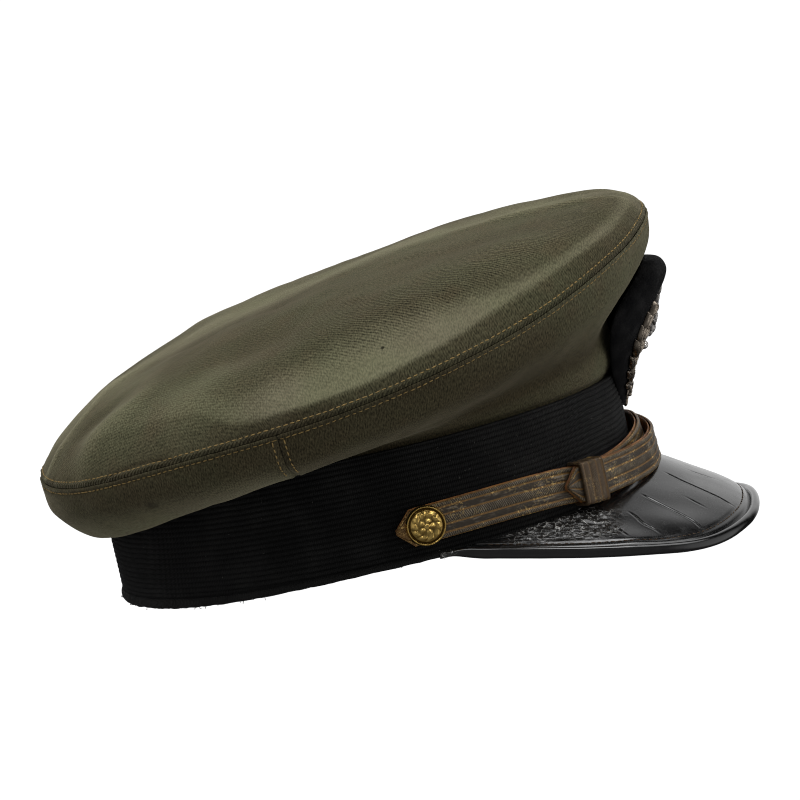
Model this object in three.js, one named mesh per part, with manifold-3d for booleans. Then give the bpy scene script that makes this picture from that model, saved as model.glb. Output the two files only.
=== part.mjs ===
// A soft peaked cap: olive cloth crown, ribbed black band, patent-leather visor, laced chin strap,
// two gilt side buttons and a badge on a padded mount. Millimetres and degrees.
// In the cap's own frame X points forward, Y to the wearer's left and Z up from the band's lower edge.
import * as THREE from "three";
import Module from "manifold-3d";

// Driving dimensions
const GAP = 0.3;
const BAND = { halfLength: 104, halfWidth: 82, top: 47.5, wall: 2.4, steps: 52 };
const CLOTH = { wall: 1.6, tuck: 6, lip: 2.2, stepsFront: 26, stepsRear: 18, pointsPerSpan: 3 };
const CROWN = { centreX: 2, rollShare: 0.4, rollGain: 0.02, rings: 8, mitre: 42 };
const SIDE_SEAM = { angle: 102.5, halfGap: 0.08 };
const WELT = { from: 77.5, overhang: 1.1, steps: 36, sides: 8 };
const VISOR = { corner: 77, wall: 2.2, rootInset: 2, bulge: 2.2, rows: 5, steps: 30 };
const BINDING = { radius: 1.7, sides: 8 };
const STRAP = { width: 14.2, leather: 1.2, lace: 1, laceInset: 0.5, point: 5.5, blunt: 0.12, steps: 34 };
const SLIDE = { from: 32.5, to: 40.7, wall: 1.1, clear: 0.35, inner: 1.85, outer: 4.7, steps: 3 };
const BUTTON = { angle: 80.3, z: 17.5, seat: 0.5, radius: 7.75, height: 4, post: 1.5, inside: 1, sides: 16 };
const POST_HOLE = { radius: 1.8, length: 24, sides: 12 };
const MOUNT = { curve: 48, puff: 1.4, edgeShare: 0.65, rows: 10, columns: 10 };
const WREATH = { halfWidth: 15, halfHeight: 20, centre: 26, from: -78, to: 50, leaves: 8 };
const LEAF = { length: 4.6, width: 2.2, height: 1, sides: 6, rings: 4 };
const ROSETTE = { centre: 33, radius: 8.6, petals: 8, lobe: 0.1, height: 2.4, lift: 0.6, sides: 32 };

// How the cap rests on a surface: turned nose up until welt and visor edge both touch it,
// with the back of the welt pressed flat
const REST = { pitch: 4.76, forward: 9.87, flatten: 0.4 };

// Underside of the cap's lower edge, and the height of the visor root or welt above it
const LOWER_EDGE = table(
  ["angle", "z", "edge"],
  [0, 11, 2.7],
  [20, 7.8, 2.7],
  [38, 3.6, 2.7],
  [56, 3.2, 2.7],
  [77, 3.4, 2.7],
  [95, 3.2, 2.8],
  [120, 1.4, 3.4],
  [140, 0.2, 4.2],
  [180, 0, 4.6],
);

// Profile of the crown's side by direction from the front: distance out from the band, and height;
// roll says how tightly the top turns down to the rim seam
const SIDE = table(
  ["angle", "standOut", "standZ", "foldOut", "foldZ", "bellyOut", "bellyZ", "seamOut", "seamZ", "roll"],
  [0, 1.4, 56, 1.8, 67, 22.8, 91, 24.6, 107.2, 20],
  [30, 1.6, 55, 3.2, 64, 21, 82, 25.5, 97.8, 16],
  [60, 1.5, 53, 6, 58, 22, 69, 28, 82.4, 11],
  [90, 2.2, 50.5, 11, 50.6, 26, 57.5, 31.5, 70.4, 9],
  [120, 2.6, 47.5, 9, 41.5, 24.5, 50, 28.8, 62.7, 10],
  [150, 2.6, 45.5, 7, 31.5, 21.8, 43.2, 25, 56.4, 12],
  [180, 2.6, 45, 5.6, 27.4, 18.5, 41.2, 21.5, 57.5, 14],
);

// Height of the crown's top along its middle, from back to front
const RIDGE = table(
  ["x", "z"],
  [-127, 72],
  [-90, 86],
  [-50, 99],
  [0, 107.5],
  [50, 115],
  [100, 119],
  [130, 121],
);

// Soft ridges and dents of the top: place, direction, half length, half width and height
const FOLDS = table(
  ["x", "y", "turn", "length", "width", "height"],
  [-42, -72, 8, 34, 15, -4],
  [20, -96, 12, 60, 12, 3],
  [-104, -30, 60, 22, 9, 2.5],
  [-96, 14, -75, 26, 9, 2.5],
);

// Visor: how far its rim stands out from the band, and the height of the rim
const RIM = table(
  ["angle", "reach", "z"],
  [0, 43.2, -14.8],
  [15, 42.4, -16.8],
  [30, 38, -16.6],
  [45, 27, -10],
  [60, 14, -2.8],
  [70, 6, 1.6],
  [77, 1.6, 4.2],
);

// Routes of the strap halves: direction, distance of the inner face from the band, and height
const RIGHT_ROUTE = table(
  ["angle", "out", "z"],
  [-87.5, 0.5, 18],
  [-80, 0.5, 17.6],
  [-62, 0.5, 17.8],
  [-50, 1.4, 17],
  [-41, 1.85, 15.4],
  [-32, 1.85, 15],
  [-20, 2.6, 16.4],
  [-8, 3.8, 18.6],
  [4, 3.8, 19],
  [16, 2.8, 17.4],
  [30, 1.85, 15],
  [41, 1.85, 15.4],
  [47, 1.85, 16.2],
);
const LEFT_ROUTE = table(
  ["angle", "out", "z"],
  [87.5, 0.5, 18],
  [80, 0.5, 17.6],
  [64, 0.5, 17.8],
  [54, 4.2, 17.3],
  [46, 4.75, 16],
  [32, 4.7, 15],
  [20, 5.9, 16.4],
  [8, 7.5, 17.8],
  [-4, 8, 17.6],
  [-14, 8.2, 16],
  [-24, 6.3, 14.9],
  [-32, 4.7, 15],
  [-41, 4.7, 15.4],
  [-47, 4.6, 16.2],
);

// Badge mount from its foot to its top: centre line of the front, half width and thickness
const MOUNT_ROWS = table(
  ["part", "x", "z", "half", "thick"],
  [0, 106.8, 32.5, 6, 1.8],
  [0.2, 111, 45, 20, 4.2],
  [0.45, 117.2, 58, 29, 6],
  [0.75, 125, 71.5, 33, 6.4],
  [0.92, 130, 81, 25, 6.6],
  [1, 130.6, 86, 11, 6],
);

// Outlines of the button's face and the rosette, as shares of their radius and height
const BUTTON_FACE = table(
  ["radius", "height"],
  [0.8, 0],
  [0.96, 0.16],
  [1, 0.34],
  [0.96, 0.52],
  [0.89, 0.57],
  [0.83, 0.5],
  [0.7, 0.74],
  [0.4, 0.93],
  [0, 1],
);
const ROSETTE_FACE = table(
  ["radius", "height"],
  [0, 0],
  [0.9, 0],
  [1, 0.2],
  [0.8, 0.55],
  [0.5, 0.5],
  [0.4, 0.8],
  [0.2, 1],
  [0, 1],
);

const LOOKS = {
  cloth: { color: 0x4b4a38, roughness: 0.92, metalness: 0 },
  ribbed: { color: 0x101013, roughness: 0.85, metalness: 0 },
  patent: { color: 0x0c0c0d, roughness: 0.22, metalness: 0 },
  leather: { color: 0x6a3f1c, roughness: 0.6, metalness: 0 },
  lace: { color: 0x7d683c, roughness: 0.45, metalness: 0.6 },
  gilt: { color: 0xc69a35, roughness: 0.28, metalness: 1 },
  silver: { color: 0x8f8a82, roughness: 0.32, metalness: 1 },
  padding: { color: 0x0b0b0d, roughness: 0.9, metalness: 0 },
};

const radians = THREE.MathUtils.degToRad;
const lerp = THREE.MathUtils.lerp;
const wasm = await Module();
wasm.setup();

// Rows with named columns
function table(columns, ...rows) {
  return rows.map((row) => Object.fromEntries(columns.map((name, index) => [name, row[index]])));
}

// A smooth value between the rows of a table, level at both ends
function between(rows, key, column, at) {
  const last = rows.length - 1;
  const sign = rows[last][key] > rows[0][key] ? 1 : -1;
  const slope = (row) => {
    const before = rows[row - 1];
    const after = rows[row + 1];
    return before && after ? (after[column] - before[column]) / (after[key] - before[key]) : 0;
  };
  let row = 0;
  while (row < last - 1 && sign * at > sign * rows[row + 1][key]) {
    row += 1;
  }
  const low = rows[row];
  const high = rows[row + 1];
  const span = high[key] - low[key];
  const t = THREE.MathUtils.clamp((at - low[key]) / span, 0, 1);
  const bend = t * t * (3 - 2 * t);
  const start = t * (1 - t) * (1 - t) * span * slope(row);
  const end = t * t * (t - 1) * span * slope(row + 1);
  return lerp(low[column], high[column], bend) + start + end;
}

// The value of a table that is the same on both sides of the cap
function around(rows, column, angle) {
  const turned = ((angle % 360) + 360) % 360;
  return between(rows, "angle", column, Math.min(turned, 360 - turned));
}

// The direction straight out from the band at an angle from the front
function outward(angle) {
  const t = radians(angle);
  return new THREE.Vector3(Math.cos(t) / BAND.halfLength, Math.sin(t) / BAND.halfWidth, 0).normalize();
}

// A point at an angle from the front, a distance out from the band and a height
function place(angle, out, z) {
  const t = radians(angle);
  const foot = new THREE.Vector3(BAND.halfLength * Math.cos(t), BAND.halfWidth * Math.sin(t), z);
  return foot.addScaledVector(outward(angle), out);
}

function range(count, make) {
  return Array.from({ length: count }, (_, index) => make(index));
}

// A closed body from points and triangles: equal points are joined and the faces turned to point out
function body(points, triangles) {
  const seen = new Map();
  const kept = [];
  const joined = points.map((point) => {
    const key = point.toArray().map((value) => Math.round(value * 1000)).join();
    if (!seen.has(key)) seen.set(key, kept.push(point) - 1);
    return seen.get(key);
  });
  const faces = triangles
    .map((corners) => corners.map((corner) => joined[corner]))
    .filter(([a, b, c]) => a !== b && b !== c && c !== a);
  const volume = faces.reduce((sum, [a, b, c]) => sum + kept[a].dot(kept[b].clone().cross(kept[c])), 0);
  const index = faces.flatMap(([a, b, c]) => (volume > 0 ? [a, b, c] : [a, c, b]));
  return new THREE.BufferGeometry().setFromPoints(kept).setIndex(index);
}

// A wall between two matching grids of points, with its edges closed; closed grids join their last column
function wall(outer, inner, closed) {
  const rows = outer.length;
  const columns = outer[0].length;
  const inside = rows * columns;
  const at = (row, column, layer) => layer * inside + row * columns + (column % columns);
  const triangles = [];
  const quad = (a, b, c, d) => triangles.push([a, b, c], [a, c, d]);
  const spans = closed ? columns : columns - 1;
  for (let column = 0; column < spans; column += 1) {
    for (let row = 0; row < rows - 1; row += 1) {
      quad(at(row, column, 0), at(row, column + 1, 0), at(row + 1, column + 1, 0), at(row + 1, column, 0));
      quad(at(row, column, 1), at(row + 1, column, 1), at(row + 1, column + 1, 1), at(row, column + 1, 1));
    }
    quad(at(0, column, 1), at(0, column + 1, 1), at(0, column + 1, 0), at(0, column, 0));
    const end = rows - 1;
    quad(at(end, column, 0), at(end, column + 1, 0), at(end, column + 1, 1), at(end, column, 1));
  }
  for (let row = 0; !closed && row < rows - 1; row += 1) {
    quad(at(row, 0, 0), at(row + 1, 0, 0), at(row + 1, 0, 1), at(row, 0, 1));
    quad(at(row, spans, 1), at(row + 1, spans, 1), at(row + 1, spans, 0), at(row, spans, 0));
  }
  return body([...outer.flat(), ...inner.flat()], triangles);
}

// A rod through matching loops of points, with flat ends
function rod(loops) {
  const sides = loops[0].length;
  const at = (ring, side) => ring * sides + (side % sides);
  const triangles = [];
  for (let side = 0; side < sides; side += 1) {
    for (let ring = 0; ring < loops.length - 1; ring += 1) {
      triangles.push([at(ring, side), at(ring, side + 1), at(ring + 1, side + 1)]);
      triangles.push([at(ring, side), at(ring + 1, side + 1), at(ring + 1, side)]);
    }
  }
  for (let side = 1; side < sides - 1; side += 1) {
    const end = loops.length - 1;
    triangles.push([at(0, 0), at(0, side + 1), at(0, side)]);
    triangles.push([at(end, 0), at(end, side), at(end, side + 1)]);
  }
  return body(loops.flat(), triangles);
}

// The grid's points moved along its normals; the last row follows a given direction
function sunk(grid, depth, closed, lastDirection) {
  const rows = grid.length;
  const columns = grid[0].length;
  return grid.map((line, row) =>
    line.map((point, column) => {
      const before = closed ? (column - 1 + columns) % columns : Math.max(column - 1, 0);
      const after = closed ? (column + 1) % columns : Math.min(column + 1, columns - 1);
      const across = line[after].clone().sub(line[before]);
      const up = grid[Math.min(row + 1, rows - 1)][column].clone().sub(grid[Math.max(row - 1, 0)][column]);
      const normal = row === rows - 1 ? lastDirection(column) : across.cross(up).normalize();
      return point.clone().addScaledVector(normal, -depth);
    }),
  );
}

function toManifold(geometry) {
  return new wasm.Manifold(
    new wasm.Mesh({
      numProp: 3,
      vertProperties: new Float32Array(geometry.attributes.position.array),
      triVerts: new Uint32Array(geometry.index.array),
    }),
  );
}

function fromManifold(solid) {
  const mesh = solid.getMesh();
  return new THREE.BufferGeometry()
    .setAttribute("position", new THREE.BufferAttribute(new Float32Array(mesh.vertProperties), mesh.numProp))
    .setIndex(Array.from(mesh.triVerts));
}

// A three.js shape's geometry with its shared points joined
function welded(geometry) {
  const position = geometry.attributes.position;
  const points = range(position.count, (index) => new THREE.Vector3().fromBufferAttribute(position, index));
  const corners = geometry.index ? Array.from(geometry.index.array) : range(position.count, (index) => index);
  return body(points, range(corners.length / 3, (face) => corners.slice(3 * face, 3 * face + 3)));
}

// The turn and place of a piece that stands straight out from the band
function standing(angle, out, z) {
  const turn = new THREE.Quaternion().setFromUnitVectors(new THREE.Vector3(0, 1, 0), outward(angle));
  return new THREE.Matrix4().compose(place(angle, out, z), turn, new THREE.Vector3(1, 1, 1));
}

function bandBottom(angle) {
  return around(LOWER_EDGE, "z", angle) + around(LOWER_EDGE, "edge", angle);
}

// Crown
function sideProfile(angle) {
  const value = (column) => around(SIDE, column, angle);
  const insideBand = -BAND.wall - 1.5 * GAP;
  const points = [
    [insideBand, BAND.top - CLOTH.tuck],
    [insideBand, BAND.top],
    [-BAND.wall / 2, BAND.top + CLOTH.lip],
    [value("standOut"), value("standZ")],
    [value("foldOut"), value("foldZ")],
    [value("bellyOut"), value("bellyZ")],
    [value("seamOut"), value("seamZ") - GAP / 2],
  ];
  const curve = new THREE.SplineCurve(points.map(([out, z]) => new THREE.Vector2(out, z)));
  return curve.getPoints(CLOTH.pointsPerSpan * (points.length - 1));
}

// The direction between the top's face and the side's face along the rim seam
function mitreDirection(angle) {
  const lean = radians(CROWN.mitre);
  return outward(angle).multiplyScalar(Math.cos(lean)).setZ(Math.sin(lean));
}

// The angles from one side seam to the other, by the front or the back
function panelAngles(from, to, steps) {
  return range(steps + 1, (step) => lerp(from, to, step / steps));
}

function crownSide(from, to, steps) {
  const angles = panelAngles(from + SIDE_SEAM.halfGap, to - SIDE_SEAM.halfGap, steps);
  const profiles = angles.map(sideProfile);
  const outer = profiles[0].map((_, row) =>
    angles.map((angle, column) => place(angle, profiles[column][row].x, profiles[column][row].y)),
  );
  return wall(outer, sunk(outer, CLOTH.wall, false, (column) => mitreDirection(angles[column])), false);
}

function foldHeight(x, y) {
  return FOLDS.reduce((sum, fold) => {
    const turn = radians(fold.turn);
    const along = (x - fold.x) * Math.cos(turn) + (y - fold.y) * Math.sin(turn);
    const across = (y - fold.y) * Math.cos(turn) - (x - fold.x) * Math.sin(turn);
    return sum + fold.height * Math.exp(-((along / fold.length) ** 2) - (across / fold.width) ** 2);
  }, 0);
}

// A point of the top, from its middle (part 0) to the rim seam (part 1)
function topPoint(angle, part) {
  const rim = place(angle, around(SIDE, "seamOut", angle) - GAP / 2, around(SIDE, "seamZ", angle) + GAP / 2);
  const x = lerp(CROWN.centreX, rim.x, part);
  const y = lerp(0, rim.y, part);
  const drop = between(RIDGE, "x", "z", rim.x) - rim.z;
  const roll = around(SIDE, "roll", angle);
  const fall = lerp(part ** 2, part ** roll, CROWN.rollShare + CROWN.rollGain * roll);
  const folds = foldHeight(x, y) * (1 - part ** 4);
  return new THREE.Vector3(x, y, between(RIDGE, "x", "z", x) - drop * fall + folds);
}

function crownTop() {
  const front = panelAngles(-SIDE_SEAM.angle, SIDE_SEAM.angle, CLOTH.stepsFront);
  const rear = panelAngles(SIDE_SEAM.angle, 360 - SIDE_SEAM.angle, CLOTH.stepsRear);
  const angles = [...front.slice(1), ...rear.slice(1)];
  const parts = range(CROWN.rings + 1, (ring) => Math.sin((Math.PI / 2) * (ring / CROWN.rings)));
  const outer = parts.map((part) => angles.map((angle) => topPoint(angle, part)));
  const grid = [...outer].reverse();
  const inner = sunk(outer, -CLOTH.wall, true, (column) => mitreDirection(angles[column]).negate());
  inner[0] = outer[0].map((point) => point.clone().setZ(point.z - CLOTH.wall));
  return wall(grid, [...inner].reverse(), true);
}

// Band and welt
function band() {
  const angles = range(BAND.steps, (step) => (360 * step) / BAND.steps);
  const edges = (out) => [
    angles.map((angle) => place(angle, out, bandBottom(angle))),
    angles.map((angle) => place(angle, out, BAND.top)),
  ];
  const plain = toManifold(wall(edges(0), edges(-BAND.wall), true));
  return fromManifold([1, -1].reduce((cut, side) => cut.subtract(postHole(side)), plain));
}

// The surface that the cap rests on, at a distance forward
function floorHeight(x) {
  return REST.flatten - (x + BAND.halfLength) * Math.tan(radians(REST.pitch));
}

function bandWelt() {
  const loops = range(WELT.steps + 1, (step) => {
    const angle = lerp(WELT.from, 360 - WELT.from, step / WELT.steps);
    const low = around(LOWER_EDGE, "z", angle);
    const half = (around(LOWER_EDGE, "edge", angle) - GAP) / 2;
    const wide = (BAND.wall + WELT.overhang) / 2;
    return range(WELT.sides, (side) => {
      const turn = (2 * Math.PI * (side + 0.5)) / WELT.sides;
      const flat = 1 / Math.cos(Math.PI / WELT.sides);
      const out = WELT.overhang - wide + wide * flat * Math.cos(turn);
      const point = place(angle, out, low + half + half * flat * Math.sin(turn));
      return point.setZ(Math.max(point.z, floorHeight(point.x)));
    });
  });
  return rod(loops);
}

// Visor and its bound edge
function visorAngles() {
  return range(VISOR.steps + 1, (step) => lerp(-VISOR.corner, VISOR.corner, step / VISOR.steps));
}

function visor() {
  const angles = visorAngles();
  const top = range(VISOR.rows + 1, (row) =>
    angles.map((angle) => {
      const part = row / VISOR.rows;
      const rimOut = around(RIM, "reach", angle) - BINDING.radius - GAP;
      const bulge = VISOR.bulge * 4 * part * (1 - part) * (rimOut / RIM[0].reach);
      const z = lerp(bandBottom(angle) - GAP, around(RIM, "z", angle) + VISOR.wall / 2, part) + bulge;
      return place(angle, lerp(-VISOR.rootInset, Math.max(rimOut, -VISOR.rootInset + 1), part), z);
    }),
  );
  const under = top.map((line) => line.map((point) => point.clone().setZ(point.z - VISOR.wall)));
  return wall(top, under, false);
}

function visorBinding() {
  const loops = visorAngles().map((angle) =>
    range(BINDING.sides, (side) => {
      const turn = (2 * Math.PI * side) / BINDING.sides;
      const out = around(RIM, "reach", angle) + BINDING.radius * Math.cos(turn);
      return place(angle, out, around(RIM, "z", angle) + BINDING.radius * Math.sin(turn));
    }),
  );
  return rod(loops);
}

// Chin strap
function strapLayer(route, inner, outer, inset) {
  const first = route[0].angle;
  const last = route[route.length - 1].angle;
  const arc = Math.abs(last - first) * radians(1) * BAND.halfWidth;
  const loops = range(STRAP.steps + 1, (step) => {
    const part = step / STRAP.steps;
    const angle = lerp(first, last, part);
    const fromEnd = Math.min(part, 1 - part) * arc;
    const taper = Math.min(1, STRAP.blunt + fromEnd / STRAP.point);
    const half = (STRAP.width / 2 - inset) * taper;
    const out = between(route, "angle", "out", angle);
    const z = between(route, "angle", "z", angle);
    return [
      place(angle, out + inner, z - half),
      place(angle, out + outer, z - half),
      place(angle, out + outer, z + half),
      place(angle, out + inner, z + half),
    ];
  });
  return rod(loops);
}

function postHole(side) {
  const { radius, length, sides } = POST_HOLE;
  const geometry = welded(new THREE.CylinderGeometry(radius, radius, length, sides));
  return toManifold(geometry.applyMatrix4(standing(side * BUTTON.angle, 0, BUTTON.z)));
}

function strapLeather(route, side) {
  const plain = toManifold(strapLayer(route, 0, STRAP.leather, 0));
  return fromManifold(plain.subtract(postHole(side)));
}

function strapLace(route, side) {
  const inner = STRAP.leather + GAP;
  const plain = toManifold(strapLayer(route, inner, inner + STRAP.lace, STRAP.laceInset));
  return fromManifold(plain.subtract(postHole(side)));
}

function slide(side) {
  const layer = STRAP.leather + GAP + STRAP.lace;
  const innerOut = SLIDE.inner - SLIDE.clear;
  const outerOut = SLIDE.outer + layer + SLIDE.clear;
  const half = STRAP.width / 2 + SLIDE.clear;
  const loop = (angle, grow) => {
    const z = between(RIGHT_ROUTE, "angle", "z", angle);
    return [
      place(angle, innerOut - grow, z - half - grow),
      place(angle, outerOut + grow, z - half - grow),
      place(angle, outerOut + grow, z + half + grow),
      place(angle, innerOut - grow, z + half + grow),
    ];
  };
  const angles = range(SLIDE.steps + 1, (step) => side * lerp(SLIDE.from, SLIDE.to, step / SLIDE.steps));
  return wall(
    angles.map((angle) => loop(angle, SLIDE.wall)),
    angles.map((angle) => loop(angle, 0)),
    true,
  );
}

function button(side) {
  const seat = BUTTON.seat + STRAP.leather + GAP + STRAP.lace + GAP;
  const postEnd = -(seat + BAND.wall + BUTTON.inside);
  const post = [[0, postEnd], [BUTTON.post, postEnd], [BUTTON.post, 0]];
  const face = BUTTON_FACE.map((row) => [row.radius * BUTTON.radius, row.height * BUTTON.height]);
  const profile = [...post, ...face].map(([x, y]) => new THREE.Vector2(x, y));
  const geometry = welded(new THREE.LatheGeometry(profile, BUTTON.sides));
  return geometry.applyMatrix4(standing(side * BUTTON.angle, seat, BUTTON.z));
}

// Badge: a point of the mount's front, across from its middle and up from its foot (0) to its top (1)
function mountFront(across, up) {
  const value = (column) => between(MOUNT_ROWS, "part", column, up);
  const flattened = MOUNT.puff * (across / value("half")) ** 2;
  const wrapped = across ** 2 / (2 * MOUNT.curve);
  return new THREE.Vector3(value("x") - wrapped - flattened, across, value("z"));
}

function mountHeight() {
  const foot = MOUNT_ROWS[0];
  const top = MOUNT_ROWS[MOUNT_ROWS.length - 1];
  return Math.hypot(top.x - foot.x, top.z - foot.z);
}

// The place and turn of a metal piece on the mount, a distance across, up from the foot and off the front
function mountFrame(across, rise, lift) {
  const up = rise / mountHeight();
  const step = 0.01;
  const point = mountFront(across, up);
  const rising = mountFront(across, up + step).sub(mountFront(across, up - step)).normalize();
  const sideways = mountFront(across + 1, up).sub(mountFront(across - 1, up)).normalize();
  const normal = sideways.clone().cross(rising).normalize();
  const frame = new THREE.Matrix4().makeBasis(sideways, rising, normal);
  return frame.setPosition(point.addScaledVector(normal, lift));
}

function badgeMount() {
  const lines = range(MOUNT.rows + 1, (row) => row / MOUNT.rows);
  const spread = range(MOUNT.columns + 1, (column) => lerp(-1, 1, column / MOUNT.columns));
  const grid = (back) =>
    lines.map((up) =>
      spread.map((part) => {
        const half = between(MOUNT_ROWS, "part", "half", up);
        const thick = between(MOUNT_ROWS, "part", "thick", up);
        const point = mountFront(part * half, up);
        const depth = thick * lerp(1, MOUNT.edgeShare, part ** 2);
        return back ? point.setX(point.x - depth) : point;
      }),
    );
  return wall(grid(false), grid(true), false);
}

function ellipsoid(matrix, long, wide, high) {
  const ball = welded(new THREE.SphereGeometry(1, LEAF.sides, LEAF.rings));
  return toManifold(ball.applyMatrix4(new THREE.Matrix4().makeScale(long, wide, high)).applyMatrix4(matrix));
}

// Two sprays of leaves that rise from a knot at the foot of the mount
function badgeSpray() {
  const lift = LEAF.height + GAP;
  const knot = mountFrame(0, WREATH.centre - WREATH.halfHeight, lift);
  const leaves = [1, -1].flatMap((side) =>
    range(WREATH.leaves, (leaf) => {
      const angle = radians(lerp(WREATH.from, WREATH.to, leaf / (WREATH.leaves - 1)));
      const across = side * WREATH.halfWidth * Math.cos(angle);
      const rise = WREATH.halfHeight * Math.sin(angle);
      const frame = mountFrame(across, WREATH.centre + rise, lift);
      const run = -side * WREATH.halfWidth * Math.sin(angle);
      const heading = Math.atan2(WREATH.halfHeight * Math.cos(angle), run);
      return frame.multiply(new THREE.Matrix4().makeRotationZ(heading));
    }),
  );
  const pieces = [knot, ...leaves].map((frame) => ellipsoid(frame, LEAF.length, LEAF.width, LEAF.height));
  return fromManifold(pieces.reduce((joined, piece) => joined.add(piece)));
}

function badgeRosette() {
  const profile = ROSETTE_FACE.map((row) => [row.radius * ROSETTE.radius, row.height * ROSETTE.height]);
  const points = profile.map(([x, y]) => new THREE.Vector2(x, y));
  const geometry = new THREE.LatheGeometry(points, ROSETTE.sides);
  const position = geometry.attributes.position;
  for (let index = 0; index < position.count; index += 1) {
    const turn = Math.atan2(position.getX(index), position.getZ(index));
    const grow = 1 + ROSETTE.lobe * Math.cos(ROSETTE.petals * turn);
    position.setXYZ(index, position.getX(index) * grow, position.getY(index), position.getZ(index) * grow);
  }
  const upright = new THREE.Matrix4().makeRotationX(Math.PI / 2);
  const seat = mountFrame(0, ROSETTE.centre, ROSETTE.lift);
  return welded(geometry).applyMatrix4(upright).applyMatrix4(seat);
}

const seam = SIDE_SEAM.angle;
const PIECES = [
  ["crown_top", crownTop(), LOOKS.cloth],
  ["crown_side_front", crownSide(-seam, seam, CLOTH.stepsFront), LOOKS.cloth],
  ["crown_side_rear", crownSide(seam, 360 - seam, CLOTH.stepsRear), LOOKS.cloth],
  ["band", band(), LOOKS.ribbed],
  ["band_welt", bandWelt(), LOOKS.ribbed],
  ["visor", visor(), LOOKS.patent],
  ["visor_binding", visorBinding(), LOOKS.patent],
  ["strap_right", strapLeather(RIGHT_ROUTE, -1), LOOKS.leather],
  ["strap_left", strapLeather(LEFT_ROUTE, 1), LOOKS.leather],
  ["lace_right", strapLace(RIGHT_ROUTE, -1), LOOKS.lace],
  ["lace_left", strapLace(LEFT_ROUTE, 1), LOOKS.lace],
  ["slide_right", slide(-1), LOOKS.lace],
  ["slide_left", slide(1), LOOKS.lace],
  ["button_right", button(-1), LOOKS.gilt],
  ["button_left", button(1), LOOKS.gilt],
  ["badge_mount", badgeMount(), LOOKS.padding],
  ["badge_spray", badgeSpray(), LOOKS.gilt],
  ["badge_rosette", badgeRosette(), LOOKS.silver],
];

// The cap turned to its resting place, with the surface at Z = 0 and the middle of its length at X = 0
const cap = new THREE.Group();
for (const [name, geometry, look] of PIECES) {
  const mesh = new THREE.Mesh(geometry, new THREE.MeshStandardMaterial(look));
  mesh.name = name;
  cap.add(mesh);
}
const pitch = radians(REST.pitch);
cap.rotation.y = -pitch;
cap.position.x = -REST.forward;
cap.position.z = BAND.halfLength * Math.sin(pitch) - REST.flatten * Math.cos(pitch);

const group = new THREE.Group();
group.add(cap);
export default group;
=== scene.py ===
"""A soft peaked cap at rest on a pale floor, with its cloth, leather, lace and metal in full detail.

Sizes are in millimetres and degrees in the cap's own frame: X forward, Y to the wearer's left, Z up from
the band's lower edge, angles from the front. to_row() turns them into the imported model's frame, in metres.
"""
import math

import bmesh
import bpy
import numpy as np
from mathutils import Matrix, Vector


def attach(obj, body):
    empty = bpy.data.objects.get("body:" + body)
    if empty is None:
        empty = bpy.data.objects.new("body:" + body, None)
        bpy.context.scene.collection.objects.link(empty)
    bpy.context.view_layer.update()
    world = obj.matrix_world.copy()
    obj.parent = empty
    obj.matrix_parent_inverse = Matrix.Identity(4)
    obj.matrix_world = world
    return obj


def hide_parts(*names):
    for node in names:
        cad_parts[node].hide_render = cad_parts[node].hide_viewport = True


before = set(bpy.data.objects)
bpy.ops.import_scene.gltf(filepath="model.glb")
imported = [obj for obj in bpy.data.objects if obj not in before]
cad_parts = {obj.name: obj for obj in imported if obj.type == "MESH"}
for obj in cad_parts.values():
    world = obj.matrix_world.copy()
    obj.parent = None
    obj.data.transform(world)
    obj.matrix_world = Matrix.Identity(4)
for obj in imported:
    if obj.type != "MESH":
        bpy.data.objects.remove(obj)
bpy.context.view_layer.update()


def table(columns, *rows):
    """Rows with named columns; the first column is the one that they are looked up by."""
    return dict(zip(columns, np.array(rows, float).T))


# Driving dimensions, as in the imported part
GAP = 0.3
BAND = {"half_length": 104, "half_width": 82, "top": 47.5, "wall": 2.4, "lap": 0.9}
CLOTH = {"wall": 1.6, "tuck": 6, "lip": 2.2}
CROWN = {"centre_x": 2, "roll_share": 0.4, "roll_gain": 0.02, "mitre": 42}
SIDE_SEAM = {"angle": 102.5, "half_gap": 0.08}
WELT = {"from": 75.6, "overhang": 1.1}
VISOR = {"corner": 77, "wall": 2.2, "root_inset": 2, "bulge": 3.3, "lap": 0.7, "row": 4.6}
BINDING = {"radius": 1.7, "tail": 1.6, "rise": 0.5}
STRAP = {"width": 14.2, "leather": 1.2, "lace": 1, "lace_inset": 0.25, "point": 5.5, "blunt": 0.12}
SLIDE = {"from": 37, "to": 44.2, "wall": 1.1, "clear": 0.35, "inner": 1.85, "outer": 4.7}
BUTTON = {"angle": 80.3, "z": 17.5, "seat": 0.5, "radius": 7.75, "height": 4, "post": 1.5, "inside": 1}
MOUNT = {"curve": 40, "puff": 1.4, "edge_share": 0.65, "round": 4.2, "roll": 1.6}
WREATH = {"half_width": 15, "half_height": 20, "centre": 26, "from": -78, "to": 50, "leaves": 8}
LEAF = {"length": 4.6, "width": 2.2, "height": 1}
ROSETTE = {"centre": 33, "radius": 8.6, "petals": 8}
REST = {"pitch": 4.76, "forward": 9.87, "flatten": 0.4}

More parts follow.
